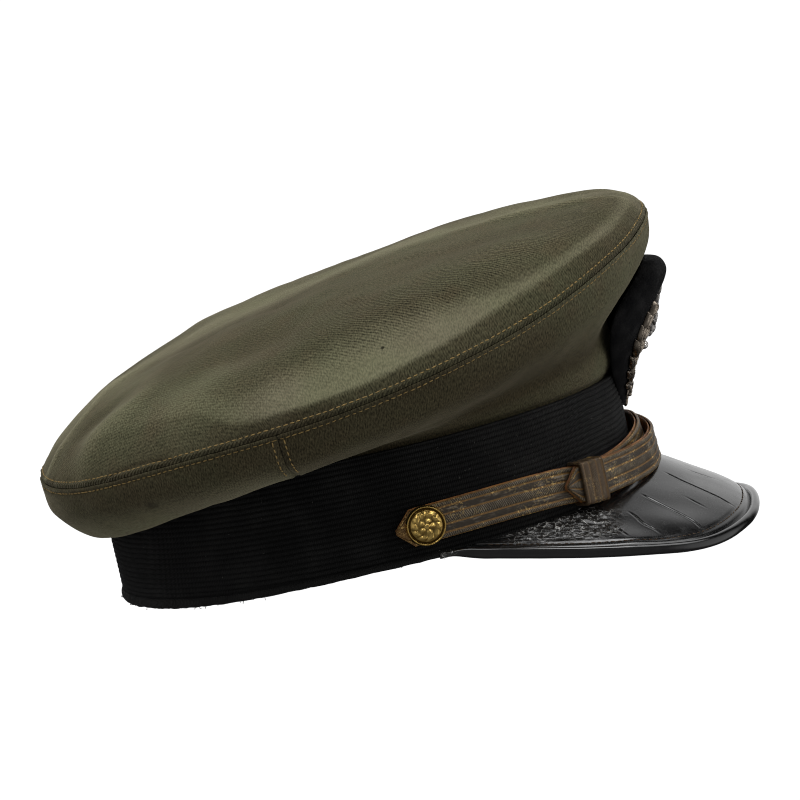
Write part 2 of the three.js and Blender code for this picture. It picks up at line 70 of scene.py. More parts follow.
LOWER_EDGE = table(
    ("angle", "z", "edge"),
    (0, 11, 2.7), (20, 7.8, 2.7), (38, 3.6, 2.7), (56, 3.2, 2.7), (77, 3.4, 2.7),
    (95, 3.2, 2.8), (120, 1.4, 3.4), (140, 0.2, 4.2), (180, 0, 4.6),
)
SIDE = table(
    ("angle", "stand_out", "stand_z", "fold_out", "fold_z", "belly_out", "belly_z", "seam_out", "seam_z",
     "roll"),
    (0, 1.8, 56, 1.6, 75, 21.6, 93.2, 24.8, 107.2, 20),
    (30, 1.3, 55, 5, 64, 20, 82.4, 25.5, 97.8, 16),
    (60, 1.5, 53, 6, 58, 22, 69, 28, 82.4, 11),
    (90, 2.2, 50.5, 11, 50.6, 26, 57.5, 31.5, 70.4, 9),
    (120, 2.6, 47.5, 9, 41.5, 24.5, 50, 28.8, 62.7, 10),
    (150, 2.6, 45.5, 7, 31.5, 22.8, 43, 25, 55.4, 12),
    (180, 2.6, 45, 5.6, 27.4, 20.2, 41, 21.5, 55.6, 14),
)
RIDGE = table(("x", "z"), (-127, 72), (-90, 86), (-50, 99), (0, 107.5), (50, 115), (100, 119), (130, 121))
FOLDS = table(
    ("x", "y", "turn", "length", "width", "height"),
    (-42, -72, 8, 34, 15, -4),
    (20, -96, 12, 60, 12, 3),
    (-104, -30, 60, 22, 9, 2.5),
    (-98, 14, -75, 26, 9, 1.4),
)
RIM = table(
    ("angle", "reach", "z"),
    (0, 43.2, -14.8), (15, 42.4, -16.8), (30, 38, -16.6), (45, 27, -10), (60, 14, -2.8), (70, 6, 1.6),
    (77, 1.6, 4.2),
)
FULLER = {"reach": 1.4, "z": 0.3, "angle": 24, "spread": 17}
RIGHT_ROUTE = table(
    ("angle", "out", "z", "lean"),
    (-86.4, 0.5, 16.7, 0), (-80, 0.5, 17.5, 0), (-62, 0.5, 17.8, 0), (-50, 1.4, 17, 0),
    (-41, 1.85, 15.4, 0),
    (-32, 1.85, 15, 0), (-20, 2.8, 16.7, 3), (-8, 3.8, 19, 8), (4, 3.3, 20.8, 10), (16, 2.4, 19.8, 8),
    (30, 1.85, 16, 0),
    (41, 1.85, 15.4, 0), (47, 1.85, 16.2, 0),
)
LEFT_ROUTE = table(
    ("angle", "out", "z", "lean"),
    (86.4, 0.5, 16.7, 0), (80, 0.5, 17.5, 0), (64, 0.5, 17.8, 0), (54, 4.2, 17.3, 0), (46, 4.75, 16, 0),
    (32, 4.7, 15, 0),
    (20, 5.6, 17.2, 6), (8, 6.1, 18.2, 8), (-4, 7.9, 16.8, 4), (-14, 7.8, 15.3, 1), (-24, 6.3, 14.9, 0),
    (-32, 4.7, 15, 0),
    (-41, 4.7, 15.4, 0), (-48, 4.6, 16.3, 0),
)
MOUNT_ROWS = table(
    ("part", "x", "z", "half", "thick"),
    (0, 105.2, 32.5, 6, 1), (0.2, 110.2, 45, 20, 4), (0.45, 117.2, 58, 29, 6),
    (0.75, 125, 71.5, 33, 7), (0.92, 130.2, 81.4, 25, 8), (1, 130.4, 87.2, 11, 8),
)

# Looks: soft folds of the crown's top, as lines in plan, and the ridge along its near and far sides
CREASES = table(
    ("x0", "y0", "x1", "y1", "width", "height"),
    (-82, -6, -101, -22, 2.3, 1.3), (-101, -22, -124, -28, 2.3, 1.2), (-84, -42, -108, -41, 7, -1.6),
    (-74, -58, -106, -58, 6.5, 1.6),
    (62, -12, 118, -20, 3.5, 1.1), (56, 14, 118, 4, 14, -1.8), (28, -46, 104, -44, 13, -1.2),
    (-66, 44, -112, 30, 7, 0.6), (-60, 62, -96, 58, 6, -1.6), (-20, 82, 60, 84, 9, 1.4),
    (-10, -20, -70, -8, 22, -2.0),
)
# By angle from the front: how far in the ridge lies, its height, its paleness (part wear, part painted
# highlight) and how fast that fades.
SHOULDER = table(
    ("angle", "distance", "height", "worn", "fade"),
    (0, 8, 0.2, 0.2, 6), (19, 8.2, 0.9, 0.45, 5), (31, 8.4, 1.8, 0.6, 4.5), (45, 9.8, 2.3, 0.65, 5),
    (58, 10.4, 2.4, 0.7, 8),
    (71, 8.4, 2.3, 0.9, 18), (80, 7.2, 2.2, 0.95, 24), (90, 6.6, 2, 0.95, 24), (99, 6.6, 1.8, 0.8, 20),
    (109, 7.8, 1.5, 0.45, 12), (118, 16, 1.9, 0.15, 12), (136, 19, 1.2, 0.1, 12), (150, 17, 0.6, 0.1, 12),
    (180, 14, 0.3, 0.1, 12),
)
SHOULDER_WIDTH = 16
SIDE_FOLD = ((0.2, 3.2, 0.5), (-0.35, 4.0, 0.6), (0.6, 4.75, 0.5))
# Pale patches on the crown's top in plan; the long one down the middle (length 120) is a painted highlight
# for light grazing the top, and negative shares take paleness away.
PATCHES = table(
    ("x", "y", "turn", "length", "width", "share"),
    (78, 16, -10, 60, 12, 0.35), (-45, -78, 10, 34, 14, 0.2), (-95, -14, -60, 24, 14, 0.25),
    (5, -42, 10, 60, 30, -0.35),
    (-60, 55, -20, 40, 20, 0.3), (10, 0, 0, 120, 14, 0.65), (-70, -30, 0, 40, 24, 0.13),
)

# Looks: sewing, ribs and weave
SEAM = {"groove": 0.42, "groove_width": 0.45, "puff": 0.3, "row": 2.15, "dip": 0.25, "pucker": 0.2,
        "hem": 24, "gather": 1.7}
PLEAT = {"from": 220, "to": 240, "reach": 3.4, "depth": 0.6}
STITCH = {"pitch": 2.55, "length": 1.95, "radius": 0.27}
RIBS = {"pitch": 2.02, "depth": 0.6}
TWILL = {"pitch": 1.25, "turn": 33, "cross": 1.05, "lean": 0.25}
THREAD_PITCH = 0.75
LACE = {"middle": 1.5, "line": 0.7, "band": 4.5, "cord": 6.6, "tick": 0.62, "tab": 6.5,
        "middle_rise": 0.36, "band_rise": 0.22, "cord_rise": 0.4}

# Marks of wear: cracks across the visor from root to rim, in degrees from the front and shares of its depth
CRACKS = table(
    ("angle", "from", "to", "lean", "depth"),
    (-13, 0.3, 0.93, -3, 0.5), (-27, 0.3, 0.93, -1.5, 0.55), (-35.5, 0.4, 0.86, -2, 0.45),
    (-20, 0.55, 0.8, -2, 0.25),
    (-5, 0.45, 0.75, 2, 0.25), (4, 0.25, 0.9, 3, 0.45), (17, 0.35, 0.92, 2, 0.5), (30, 0.3, 0.9, 3, 0.45),
    (38, 0.4, 0.8, 1, 0.3), (-42, 0.5, 0.85, -2, 0.3),
)
CRACK = {"width": 0.36, "fade": 0.12, "sunk": 0.8, "lip": 0.1, "lip_at": 0.8, "lip_width": 0.5}
FLAKED = {"angle": 52, "spread": 13, "part": 0.28, "reach": 0.45, "coarse": 0.5, "fine": 0.4}


# Helpers in the cap's frame
def between(rows, column, at):
    """A smooth value between the rows of a table, level at both ends."""
    key = next(iter(rows.values()))
    order = np.argsort(key)
    x, v = key[order], rows[column][order]
    slope = np.zeros_like(v)
    slope[1:-1] = (v[2:] - v[:-2]) / (x[2:] - x[:-2])
    i = np.clip(np.searchsorted(x, at) - 1, 0, len(x) - 2)
    span = x[i + 1] - x[i]
    t = np.clip((at - x[i]) / span, 0, 1)
    bend = t * t * (3 - 2 * t)
    curve = t * (1 - t) ** 2 * slope[i] - t * t * (1 - t) * slope[i + 1]
    return v[i] + (v[i + 1] - v[i]) * bend + span * curve


def from_front(angle):
    """Degrees away from the front, to either side."""
    return np.abs((np.asarray(angle) + 180) % 360 - 180)


def around(rows, column, angle):
    """The value of a table that is the same on both sides of the cap."""
    return between(rows, column, from_front(angle))


def turns(count):
    """Angles once round a circle."""
    return np.linspace(0, 2 * np.pi, count, endpoint=False)


def outward(angle):
    t = np.radians(angle)
    n = np.stack([np.cos(t) / BAND["half_length"], np.sin(t) / BAND["half_width"], np.zeros_like(t)], -1)
    return n / np.linalg.norm(n, axis=-1, keepdims=True)


def place(angle, out, z):
    """A point at an angle from the front, a distance out from the band and a height."""
    angle, out, z = np.broadcast_arrays(*(np.asarray(v, float) for v in (angle, out, z)))
    t = np.radians(angle)
    foot = np.stack([BAND["half_length"] * np.cos(t), BAND["half_width"] * np.sin(t), z], -1)
    return foot + outward(angle) * out[..., None]


def to_row(points):
    """Points of the cap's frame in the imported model's frame, in metres."""
    pitch = math.radians(REST["pitch"])
    lift = BAND["half_length"] * math.sin(pitch) - REST["flatten"] * math.cos(pitch)
    x, y, z = np.moveaxis(np.asarray(points, float), -1, 0)
    forward = x * math.cos(pitch) - z * math.sin(pitch) - REST["forward"]
    return np.stack([forward, y, x * math.sin(pitch) + z * math.cos(pitch) + lift], -1) / 1000


def smooth(t):
    t = np.clip(t, 0, 1)
    return t * t * (3 - 2 * t)


def mix(a, b, share):
    return a + (b - a) * share


def bump(at, middle, width):
    return np.exp(-(((at - middle) / width) ** 2))


def wander(x, y, pitch, seed):
    """A smooth random value between -1 and 1 that changes over about one pitch."""
    size = 64
    cells = np.random.default_rng(seed).uniform(-1, 1, (size, size))
    x, y = np.broadcast_arrays(np.asarray(x, float) / pitch, np.asarray(y, float) / pitch)
    i, j = np.floor(x).astype(int), np.floor(y).astype(int)
    s, t = smooth(x - i), smooth(y - j)
    low = mix(cells[i % size, j % size], cells[(i + 1) % size, j % size], s)
    high = mix(cells[i % size, (j + 1) % size], cells[(i + 1) % size, (j + 1) % size], s)
    return mix(low, high, t)


def stacked(*parts):
    """Columns of numbers, each as large as the largest of them."""
    return np.stack(np.broadcast_arrays(*parts), -1)


def unit(vectors):
    return vectors / np.maximum(np.linalg.norm(vectors, axis=-1, keepdims=True), 1e-9)


def normals(grid, closed):
    along = np.roll(grid, -1, 1) - np.roll(grid, 1, 1) if closed else np.gradient(grid, axis=1)
    return unit(np.cross(along, np.gradient(grid, axis=0)))


def run(grid, axis):
    """Distance along the grid's lines from their first point."""
    steps = np.linalg.norm(np.diff(grid, axis=axis), axis=-1)
    start = np.zeros_like(np.take(steps, [0], axis))
    return np.concatenate([start, np.cumsum(steps, axis)], axis)


# Shape of the crown
def knots(rows):
    """Where the rows of the crown's side lie between its seven knots, closest together at the rim seam."""
    return 6 * (1 - (1 - np.linspace(0, 1, rows)) ** 1.7)


def side_profile(angle, rows):
    """Distance out and height of the crown's side from its tuck in the band (row 0) to the rim seam."""
    inside = -BAND["wall"] - 1.5 * GAP
    outs = [out + 0 * angle for out in (inside, inside, -BAND["wall"] / 2)]
    heights = [BAND["top"] + rise + 0 * angle for rise in (-CLOTH["tuck"], 0, CLOTH["lip"])]
    for name in ("stand", "fold", "belly", "seam"):
        outs.append(around(SIDE, name + "_out", angle))
        heights.append(around(SIDE, name + "_z", angle))
    heights[-1] = heights[-1] - GAP / 2
    points = np.stack([np.stack(outs), np.stack(heights)], -1)
    last = len(points) - 1
    at = knots(rows)
    i = np.minimum(at.astype(int), last - 1)
    t = (at - i)[:, None, None]
    p0, p1, p2, p3 = (points[np.clip(i + k, 0, last)] for k in (-1, 0, 1, 2))
    v0, v1 = (p2 - p0) / 2, (p3 - p1) / 2
    return (2 * p1 - 2 * p2 + v0 + v1) * t**3 + (3 * p2 - 3 * p1 - 2 * v0 - v1) * t**2 + v0 * t + p1


def mitre(angle):
    lean = math.radians(CROWN["mitre"])
    return outward(angle) * math.cos(lean) + np.array([0, 0, math.sin(lean)])


def sewn(distance, along):
    """Height of the cloth by its distance from a sewn edge: a groove, a puff and a dip at the stitches."""
    groove = -SEAM["groove"] * bump(distance, 0, SEAM["groove_width"])
    puff = SEAM["puff"] * bump(distance, 1.35, 0.8) + 0.3 * SEAM["puff"] * bump(distance, 4.6, 1.4)
    dip = -SEAM["dip"] * bump(distance, SEAM["row"], 0.5)
    pucker = wander(along, 0, 1.3, 3) + 0.8 * wander(along, 7, 3.1, 4)
    return groove + puff + dip + SEAM["pucker"] * pucker * bump(distance, 1.6, 2.4)


def mounds(rows, x, y):
    """Sum of long soft mounds in plan."""
    total = np.zeros(np.broadcast(x, y).shape)
    for x0, y0, turn, length, width, height in zip(*rows.values()):
        c, s = math.cos(math.radians(turn)), math.sin(math.radians(turn))
        along = (x - x0) * c + (y - y0) * s
        across = (y - y0) * c - (x - x0) * s
        total = total + height * np.exp(-((along / length) ** 2) - (across / width) ** 2)
    return total


def top_point(angle, part):
    """A point of the crown's top, from its middle (part 0) to the rim seam (part 1)."""
    rim = place(angle, around(SIDE, "seam_out", angle) - GAP / 2, around(SIDE, "seam_z", angle) + GAP / 2)
    x = mix(CROWN["centre_x"], rim[..., 0], part)
    y = rim[..., 1] * part
    drop = between(RIDGE, "z", rim[..., 0]) - rim[..., 2]
    roll = around(SIDE, "roll", angle)
    fall = mix(part**2, part**roll, CROWN["roll_share"] + CROWN["roll_gain"] * roll)
    z = between(RIDGE, "z", x) - drop * fall + mounds(FOLDS, x, y) * (1 - part**4)
    return np.stack([x, y, z], -1)


def crease_height(x, y):
    """Height of the folds across the crown's top, and a painted highlight along their crests, narrow ones
    most.
    """
    total, rubbed = np.zeros_like(x), np.zeros_like(x)
    for x0, y0, x1, y1, width, height in zip(*CREASES.values()):
        length = math.hypot(x1 - x0, y1 - y0)
        along = ((x - x0) * (x1 - x0) + (y - y0) * (y1 - y0)) / length
        across = ((y - y0) * (x1 - x0) - (x - x0) * (y1 - y0)) / length
        across = across + 0.15 * width * wander(along, 0, 9, 15)
        ends = smooth(along / 24 + 0.5) * smooth((length - along) / 24 + 0.5)
        fold = height * ends * bump(across, 0, width)
        total += fold
        # A painted highlight along each raised fold's crest.
        rubbed += np.maximum(fold, 0) * 3 / width
    return total, rubbed


# Meshes
def wall_corners(rows, columns, closed, layers=2):
    """Corners (row, column, layer) of the quads of a wall between two matching grids, with its edges."""
    spans = columns if closed else columns - 1
    quads = []

    def faces(row, column, *steps):
        r, c = (a.ravel() for a in np.meshgrid(row, column, indexing="ij"))
        corners = [np.stack([r + dr, c + dc, 0 * r + layer], -1) for dr, dc, layer in steps]
        quads.append(np.stack(corners, 1))

    across, up = np.arange(spans), np.arange(rows - 1)
    faces(up, across, (0, 0, 0), (0, 1, 0), (1, 1, 0), (1, 0, 0))
    if layers == 2:
        faces(up, across, (0, 0, 1), (1, 0, 1), (1, 1, 1), (0, 1, 1))
        faces([0], across, (0, 0, 1), (0, 1, 1), (0, 1, 0), (0, 0, 0))
        faces([rows - 1], across, (0, 0, 0), (0, 1, 0), (0, 1, 1), (0, 0, 1))
        if not closed:
            faces(up, [0], (0, 0, 0), (1, 0, 0), (1, 0, 1), (0, 0, 1))
            faces(up, [columns - 1], (0, 0, 1), (1, 0, 1), (1, 0, 0), (0, 0, 0))
    return np.concatenate(quads)


def loop_faces(rings, sides):
    """Quads between loops of points."""
    corners = wall_corners(rings, sides, True, layers=1)
    return corners[..., 0] * sides + corners[..., 1] % sides


def inside_out(points, faces):
    a, b, c, d = (points[faces[:, k]] for k in range(4))
    return (a * np.cross(b, c) + a * np.cross(c, d)).sum() < 0


def mesh_object(name, points, faces, uv=None, **values):
    """An object in the row's frame from points of the cap's frame; values are numbers for each point."""
    mesh = bpy.data.meshes.new(name)
    mesh.from_pydata(to_row(points).tolist(), [], faces.tolist())
    if uv is not None:
        for k, key in enumerate(("Cloth", "Seam")[: uv.shape[-1] // 2]):
            layer = mesh.uv_layers.new(name=key)
            layer.uv.foreach_set("vector", uv[..., 2 * k : 2 * k + 2].reshape(-1).astype(np.float32))
    for key, value in values.items():
        data = mesh.attributes.new(key, "FLOAT", "POINT").data
        data.foreach_set("value", np.asarray(value, np.float32).ravel())
    mesh.polygons.foreach_set("use_smooth", np.ones(len(mesh.polygons), bool))
    made = bpy.data.objects.new(name + "_detail", mesh)
    bpy.context.scene.collection.objects.link(made)
    return made


def wall(name, outer, inner, closed=False, uv=None, **values):
    """A closed wall between two matching grids of points; uv has one more column than a closed grid."""
    rows, columns = outer.shape[:2]
    corners = wall_corners(rows, columns, closed)
    points = np.concatenate([outer.reshape(-1, 3), inner.reshape(-1, 3)])
    index = corners[..., 2] * rows * columns + corners[..., 0] * columns + corners[..., 1] % columns
    if inside_out(points, index):
        index, corners = index[:, ::-1], corners[:, ::-1]
    if uv is not None:
        uv = uv[corners[..., 0], corners[..., 1]]
    for key, value in values.items():
        values[key] = np.tile(np.broadcast_to(value, (rows, columns)).ravel(), 2)
    return joined(mesh_object(name, points, index, uv, **values))


def joined(made):
    """Joins points that lie on each other, as at the middle of a round grid."""
    work = bmesh.new()
    work.from_mesh(made.data)
    bmesh.ops.remove_doubles(work, verts=work.verts, dist=1e-7)
    work.to_mesh(made.data)
    work.free()
    return made


def copies(name, points, faces, frames):
    """One mesh of a small shape set down at each of the frames, 4 x 4 matrices of the cap's frame."""
    frames = np.asarray(frames)
    local = np.concatenate([points, np.ones((len(points), 1))], 1)
    placed = np.einsum("nij,pj->npi", frames, local)[..., :3].reshape(-1, 3)
    index = np.arange(len(frames))[:, None, None] * len(points) + faces[None]
    return mesh_object(name, placed, index.reshape(-1, faces.shape[1]))


def frames_at(origin, along, up, size):
    """Matrices whose X runs along and whose Z points up from a surface."""
    x = unit(along)
    y = unit(np.cross(up, x))
    z = np.cross(x, y)
    made = np.zeros((len(origin), 4, 4))
    for k, axis in enumerate((x, y, z)):
        made[:, :3, k] = axis * size[:, k, None]
    made[:, :3, 3] = origin
    made[:, 3, 3] = 1
    return made


def ball(sides, rings):
    """A round shape of radius 1 with its poles on X."""
    turn = turns(sides)
    lean = np.linspace(0, np.pi, rings + 1)[:, None]
    wide = np.sin(lean)
    grid = np.stack([np.cos(lean) + 0 * turn, wide * np.cos(turn), wide * np.sin(turn)], -1)
    return grid.reshape(-1, 3), loop_faces(rings + 1, sides)[:, ::-1]


# Materials
class Nodes:
    """Short calls for the nodes of a tree."""

    def __init__(self, tree):
        self.tree = tree

    def add(self, kind, inputs=(), output=0, **settings):
        """A node; settings with a capital are its sockets, and the others are its own options."""
        made = self.tree.nodes.new(kind)
        for key in [key for key in settings if key[0].islower()]:
            setattr(made, key, settings.pop(key))
        for key, value in [*enumerate(inputs), *settings.items()]:
            self.set(made.inputs[key], value)
        return made.outputs[output]

    def set(self, socket, value):
        if isinstance(value, bpy.types.NodeSocket):
            self.tree.links.new(value, socket)
        elif value is not None:
            socket.default_value = value

    def math(self, operation, *values):
        return self.add("ShaderNodeMath", values, operation=operation)

    def plus(self, a, b):
        return self.math("ADD", a, b)

    def minus(self, a, b):
        return self.math("SUBTRACT", a, b)

    def times(self, a, b):
        return self.math("MULTIPLY", a, b)

    def scaled(self, value, by, plus):
        return self.math("MULTIPLY_ADD", value, by, plus)

    def ramp(self, value, low, high, top=1):
        """0 below low, the top value above high and smooth between them."""
        return self.add("ShaderNodeMapRange", [value, low, high, 0, top], interpolation_type="SMOOTHSTEP")


class Shader(Nodes):
    """A material and the nodes that it is made of; vectors are in millimetres."""

    def __init__(self, name, **settings):
        self.material = bpy.data.materials.new(name)
        self.material.use_nodes = True
        super().__init__(self.material.node_tree)
        self.surface = self.tree.nodes["Principled BSDF"]
        self.drive(**settings)
        where = self.add("ShaderNodeTexCoord", output="Object")
        self.spot = self.add("ShaderNodeVectorMath", [where], operation="SCALE", Scale=1000)
        self.cloth = self.add("ShaderNodeUVMap", uv_map="Cloth")

    def drive(self, **sockets):
        """Sets or links the surface's sockets by their names."""
        for key, value in sockets.items():
            self.set(self.surface.inputs[key.replace("_", " ").title().replace("Ior", "IOR")], value)

    def noise(self, pitch, vector=None, detail=3):
        vector = self.spot if vector is None else vector
        return self.add("ShaderNodeTexNoise", Vector=vector, Scale=1 / pitch, Detail=detail)

    def cells(self, pitch, feature="F1"):
        return self.add("ShaderNodeTexVoronoi", output="Distance", Vector=self.spot, Scale=1 / pitch,
                        feature=feature)

    def stripes(self, coordinate, pitch):
        turn = self.times(coordinate, 2 * math.pi / pitch)
        return self.scaled(self.math("SINE", turn), 0.5, 0.5)

    def blend(self, share, a, b, kind="MIX"):
        made = self.tree.nodes.new("ShaderNodeMix")
        made.data_type, made.blend_type = "RGBA", kind
        for key, value in ((0, share), (6, a), (7, b)):
            self.set(made.inputs[key], (*value, 1) if isinstance(value, tuple) else value)
        return made.outputs[2]

    def point(self, name):
        """A number that the mesh holds for each point."""
        return self.add("ShaderNodeAttribute", output="Fac", attribute_name=name)

    def split(self, vector, axis):
        return self.add("ShaderNodeSeparateXYZ", [vector], output=axis)

    def turned(self, vector, degrees):
        angle = math.radians(degrees)
        return self.add("ShaderNodeVectorRotate", rotation_type="Z_AXIS", Vector=vector, Angle=angle)

    def relief(self, *layers):
        """Bumps on the surface: heights from 0 to 1 and how deep each is in millimetres."""
        normal = None
        for height, depth in layers:
            normal = self.add("ShaderNodeBump", Height=height, Distance=depth / 1000, Strength=1.0,
                              Normal=normal)
        self.drive(normal=normal)


def cloth_material():
    """Olive wool twill, brownish and darker with grime and painted shade, pale and smooth with wear and
    painted highlights.
    """
    s = Shader("olive_wool", roughness=0.95, sheen_weight=0.22, sheen_roughness=0.3,
               sheen_tint=(1, 0.9, 0.64, 1), specular_ior_level=0.08)
    line = s.split(s.turned(s.cloth, TWILL["turn"]), 1)
    wale = s.stripes(s.scaled(s.noise(5), 1.6, line), TWILL["pitch"])
    drawn = s.add("ShaderNodeVectorMath", [s.cloth, (1, 0.4, 1)], operation="MULTIPLY")
    broken = s.ramp(s.noise(1.3, s.turned(s.cloth, TWILL["turn"])), 0.28, 0.62)
    seam = s.add("ShaderNodeUVMap", uv_map="Seam")
    u, v = s.split(seam, 0), s.split(seam, 1)
    drift = s.scaled(s.noise(4, detail=2), 1.4, u)
    cross = s.stripes(s.scaled(v, TWILL["lean"], drift), TWILL["cross"])
    fuzz = s.ramp(s.noise(0.55, drawn), 0.3, 0.7)
    mottled = s.noise(3.5, detail=4)
    edge = s.math("DIVIDE", v, SEAM["row"])
    gathers = s.stripes(s.scaled(v, -1.1, drift), SEAM["gather"])
    gathers = s.times(gathers, s.math("EXPONENT", s.times(s.times(edge, edge), -1.4)))
    gathers = s.times(gathers, s.point("gather"))
    broad = s.ramp(s.noise(38, detail=4), 0.36, 0.66)
    worn = s.point("worn")
    base = s.blend(broad, (0.074, 0.0735, 0.041), (0.073, 0.066, 0.038))
    base = s.blend(s.times(s.ramp(s.noise(12, detail=5), 0.45, 0.7), 0.4), base, (0.086, 0.066, 0.038))
    # Darker and browner: grime, with painted shade in pleats, between folds, in the side's front fold and
    # towards the rear.
    base = s.blend(s.times(s.point("handled"), 0.9), base, (0.034, 0.027, 0.0145))
    # Paler: wear, with painted highlights on the ridge, on fold crests and down the top's middle, and
    # painted light under the rear of the sides.
    base = s.blend(worn, base, s.blend(broad, (0.19, 0.187, 0.112), (0.19, 0.176, 0.115)))
    speck = s.ramp(s.noise(0.8), 0.64, 0.75)
    base = s.blend(s.times(speck, 0.3), base, (0.15, 0.11, 0.055))
    for spot, size, depth, tint in marks():
        near = s.add("ShaderNodeVectorMath", [s.spot, spot], output="Value", operation="DISTANCE")
        ragged = s.scaled(s.noise(0.6 * size), size, near)
        base = s.blend(s.times(s.minus(1, s.ramp(ragged, size, 1.5 * size)), depth), base, tint)

    def wave(value, depth):
        return s.times(s.minus(value, 0.5), depth)

    strength = s.times(s.point("wale"), broken)
    shade = s.plus(wave(wale, strength), wave(cross, s.point("cross")))
    shade = s.plus(shade, wave(fuzz, s.scaled(worn, -0.6, 0.95)))
    shade = s.times(s.plus(shade, 1), s.scaled(mottled, 0.35, 0.78))
    # Darker in the troughs of the gathers by the seam: painted shade.
    shade = s.times(shade, s.scaled(gathers, -0.6, 1.04))
    tint = s.add("ShaderNodeCombineColor", [shade, shade, shade])
    s.drive(base_color=s.blend(1.0, base, tint, "MULTIPLY"))
    s.relief((gathers, 0.3), (s.times(fuzz, s.scaled(worn, -0.7, 1)), 0.08),
             (s.times(wale, strength), 0.12))
    return s.material


def ribbed_material():
    """Black mohair braid: raised ribs crossed by fine threads, with painted shade between the ribs, and
    greyer where it is rubbed and towards the front, partly painted light.
    """
    s = Shader("ribbed_mohair", roughness=0.85, sheen_weight=0.05, sheen_roughness=0.4,
               sheen_tint=(0.45, 0.45, 0.48, 1), specular_ior_level=0.16)
    threads = s.stripes(s.scaled(s.noise(1.6), 0.5, s.split(s.cloth, 0)), THREAD_PITCH)
    rubbed = s.ramp(s.noise(16, detail=5), 0.4, 0.8)
    fibre = s.noise(0.8, detail=5)
    base = s.blend(s.times(threads, 0.6), (0.004, 0.004, 0.0041), (0.0085, 0.0083, 0.008))
    # Greyer towards the front: rubbing and dust, with painted light on the side facing the light; greyer all
    # over on the welt as a painted highlight.
    rubbed = s.times(s.scaled(s.point("front"), 0.9, rubbed), s.times(fibre, 0.9))
    base = s.blend(rubbed, base, (0.021, 0.0205, 0.0195))
    # Near black between the ribs and just above the welt: painted shade.
    base = s.blend(s.times(s.point("sunk"), 0.8), base, (0.0012, 0.0012, 0.0012))
    s.drive(base_color=base)
    s.relief((threads, 0.16), (fibre, 0.2))
    return s.material


def patent_material():
    """Black patent leather: an aged gloss, dull and darker in its cracks, part painted shade, flaked near
    its root to a pale crusted layer whose broken edges are partly painted glints.
    """
    s = Shader("patent_leather", specular_ior_level=0.5, coat_weight=0.5, coat_roughness=0.12)
    flaked = s.point("flaked")
    scale = s.cells(2.5)
    edge = s.ramp(s.cells(2.5, feature="DISTANCE_TO_EDGE"), 0.02, 0.08)
    broken = s.ramp(s.noise(2.2, detail=4), 0.46, 0.57)
    # Pale broken edges of the flakes: crusted leather, and painted glints.
    crust_and_glint = s.times(s.times(s.minus(1, edge), broken), flaked)
    dust = s.ramp(s.noise(5, detail=6), 0.45, 0.75)
    split = s.ramp(s.point("crack"), 0.45, 0.8)
    base = s.blend(s.times(dust, 0.5), (0.007, 0.007, 0.0072), (0.014, 0.014, 0.014))
    base = s.blend(s.times(flaked, 0.8), base, (0.032, 0.031, 0.029))
    base = s.blend(crust_and_glint, base, (0.55, 0.54, 0.51))
    # Darker in the cracks: dull leather, and painted shade in the fissures.
    base = s.blend(split, base, (0.003, 0.003, 0.003))
    rough = s.scaled(dust, 0.12, 0.2)
    rough = s.minus(rough, s.times(flaked, 0.1))
    rough = s.times(rough, s.scaled(s.point("bound"), -0.6, 1))
    rough = s.plus(rough, s.times(split, 0.5))
    s.drive(base_color=base, roughness=rough)
    torn = s.times(s.plus(scale, s.times(edge, 0.5)), flaked)
    s.relief((s.noise(9, detail=2), 0.08), (s.noise(1.1, detail=5), 0.02), (torn, 1.6))
    return s.material


def leather_material():
    """Brown strap leather with a fine grain, darker where it has soaked."""
    s = Shader("strap_leather", roughness=0.55, specular_ior_level=0.4)
    grain = s.cells(0.8)
    soaked = s.ramp(s.noise(6, detail=4), 0.4, 0.65)
    s.drive(base_color=s.blend(soaked, (0.42, 0.18, 0.05), (0.19, 0.078, 0.026)))
    s.relief((grain, 0.12), (s.noise(2.5), 0.2))
    return s.material


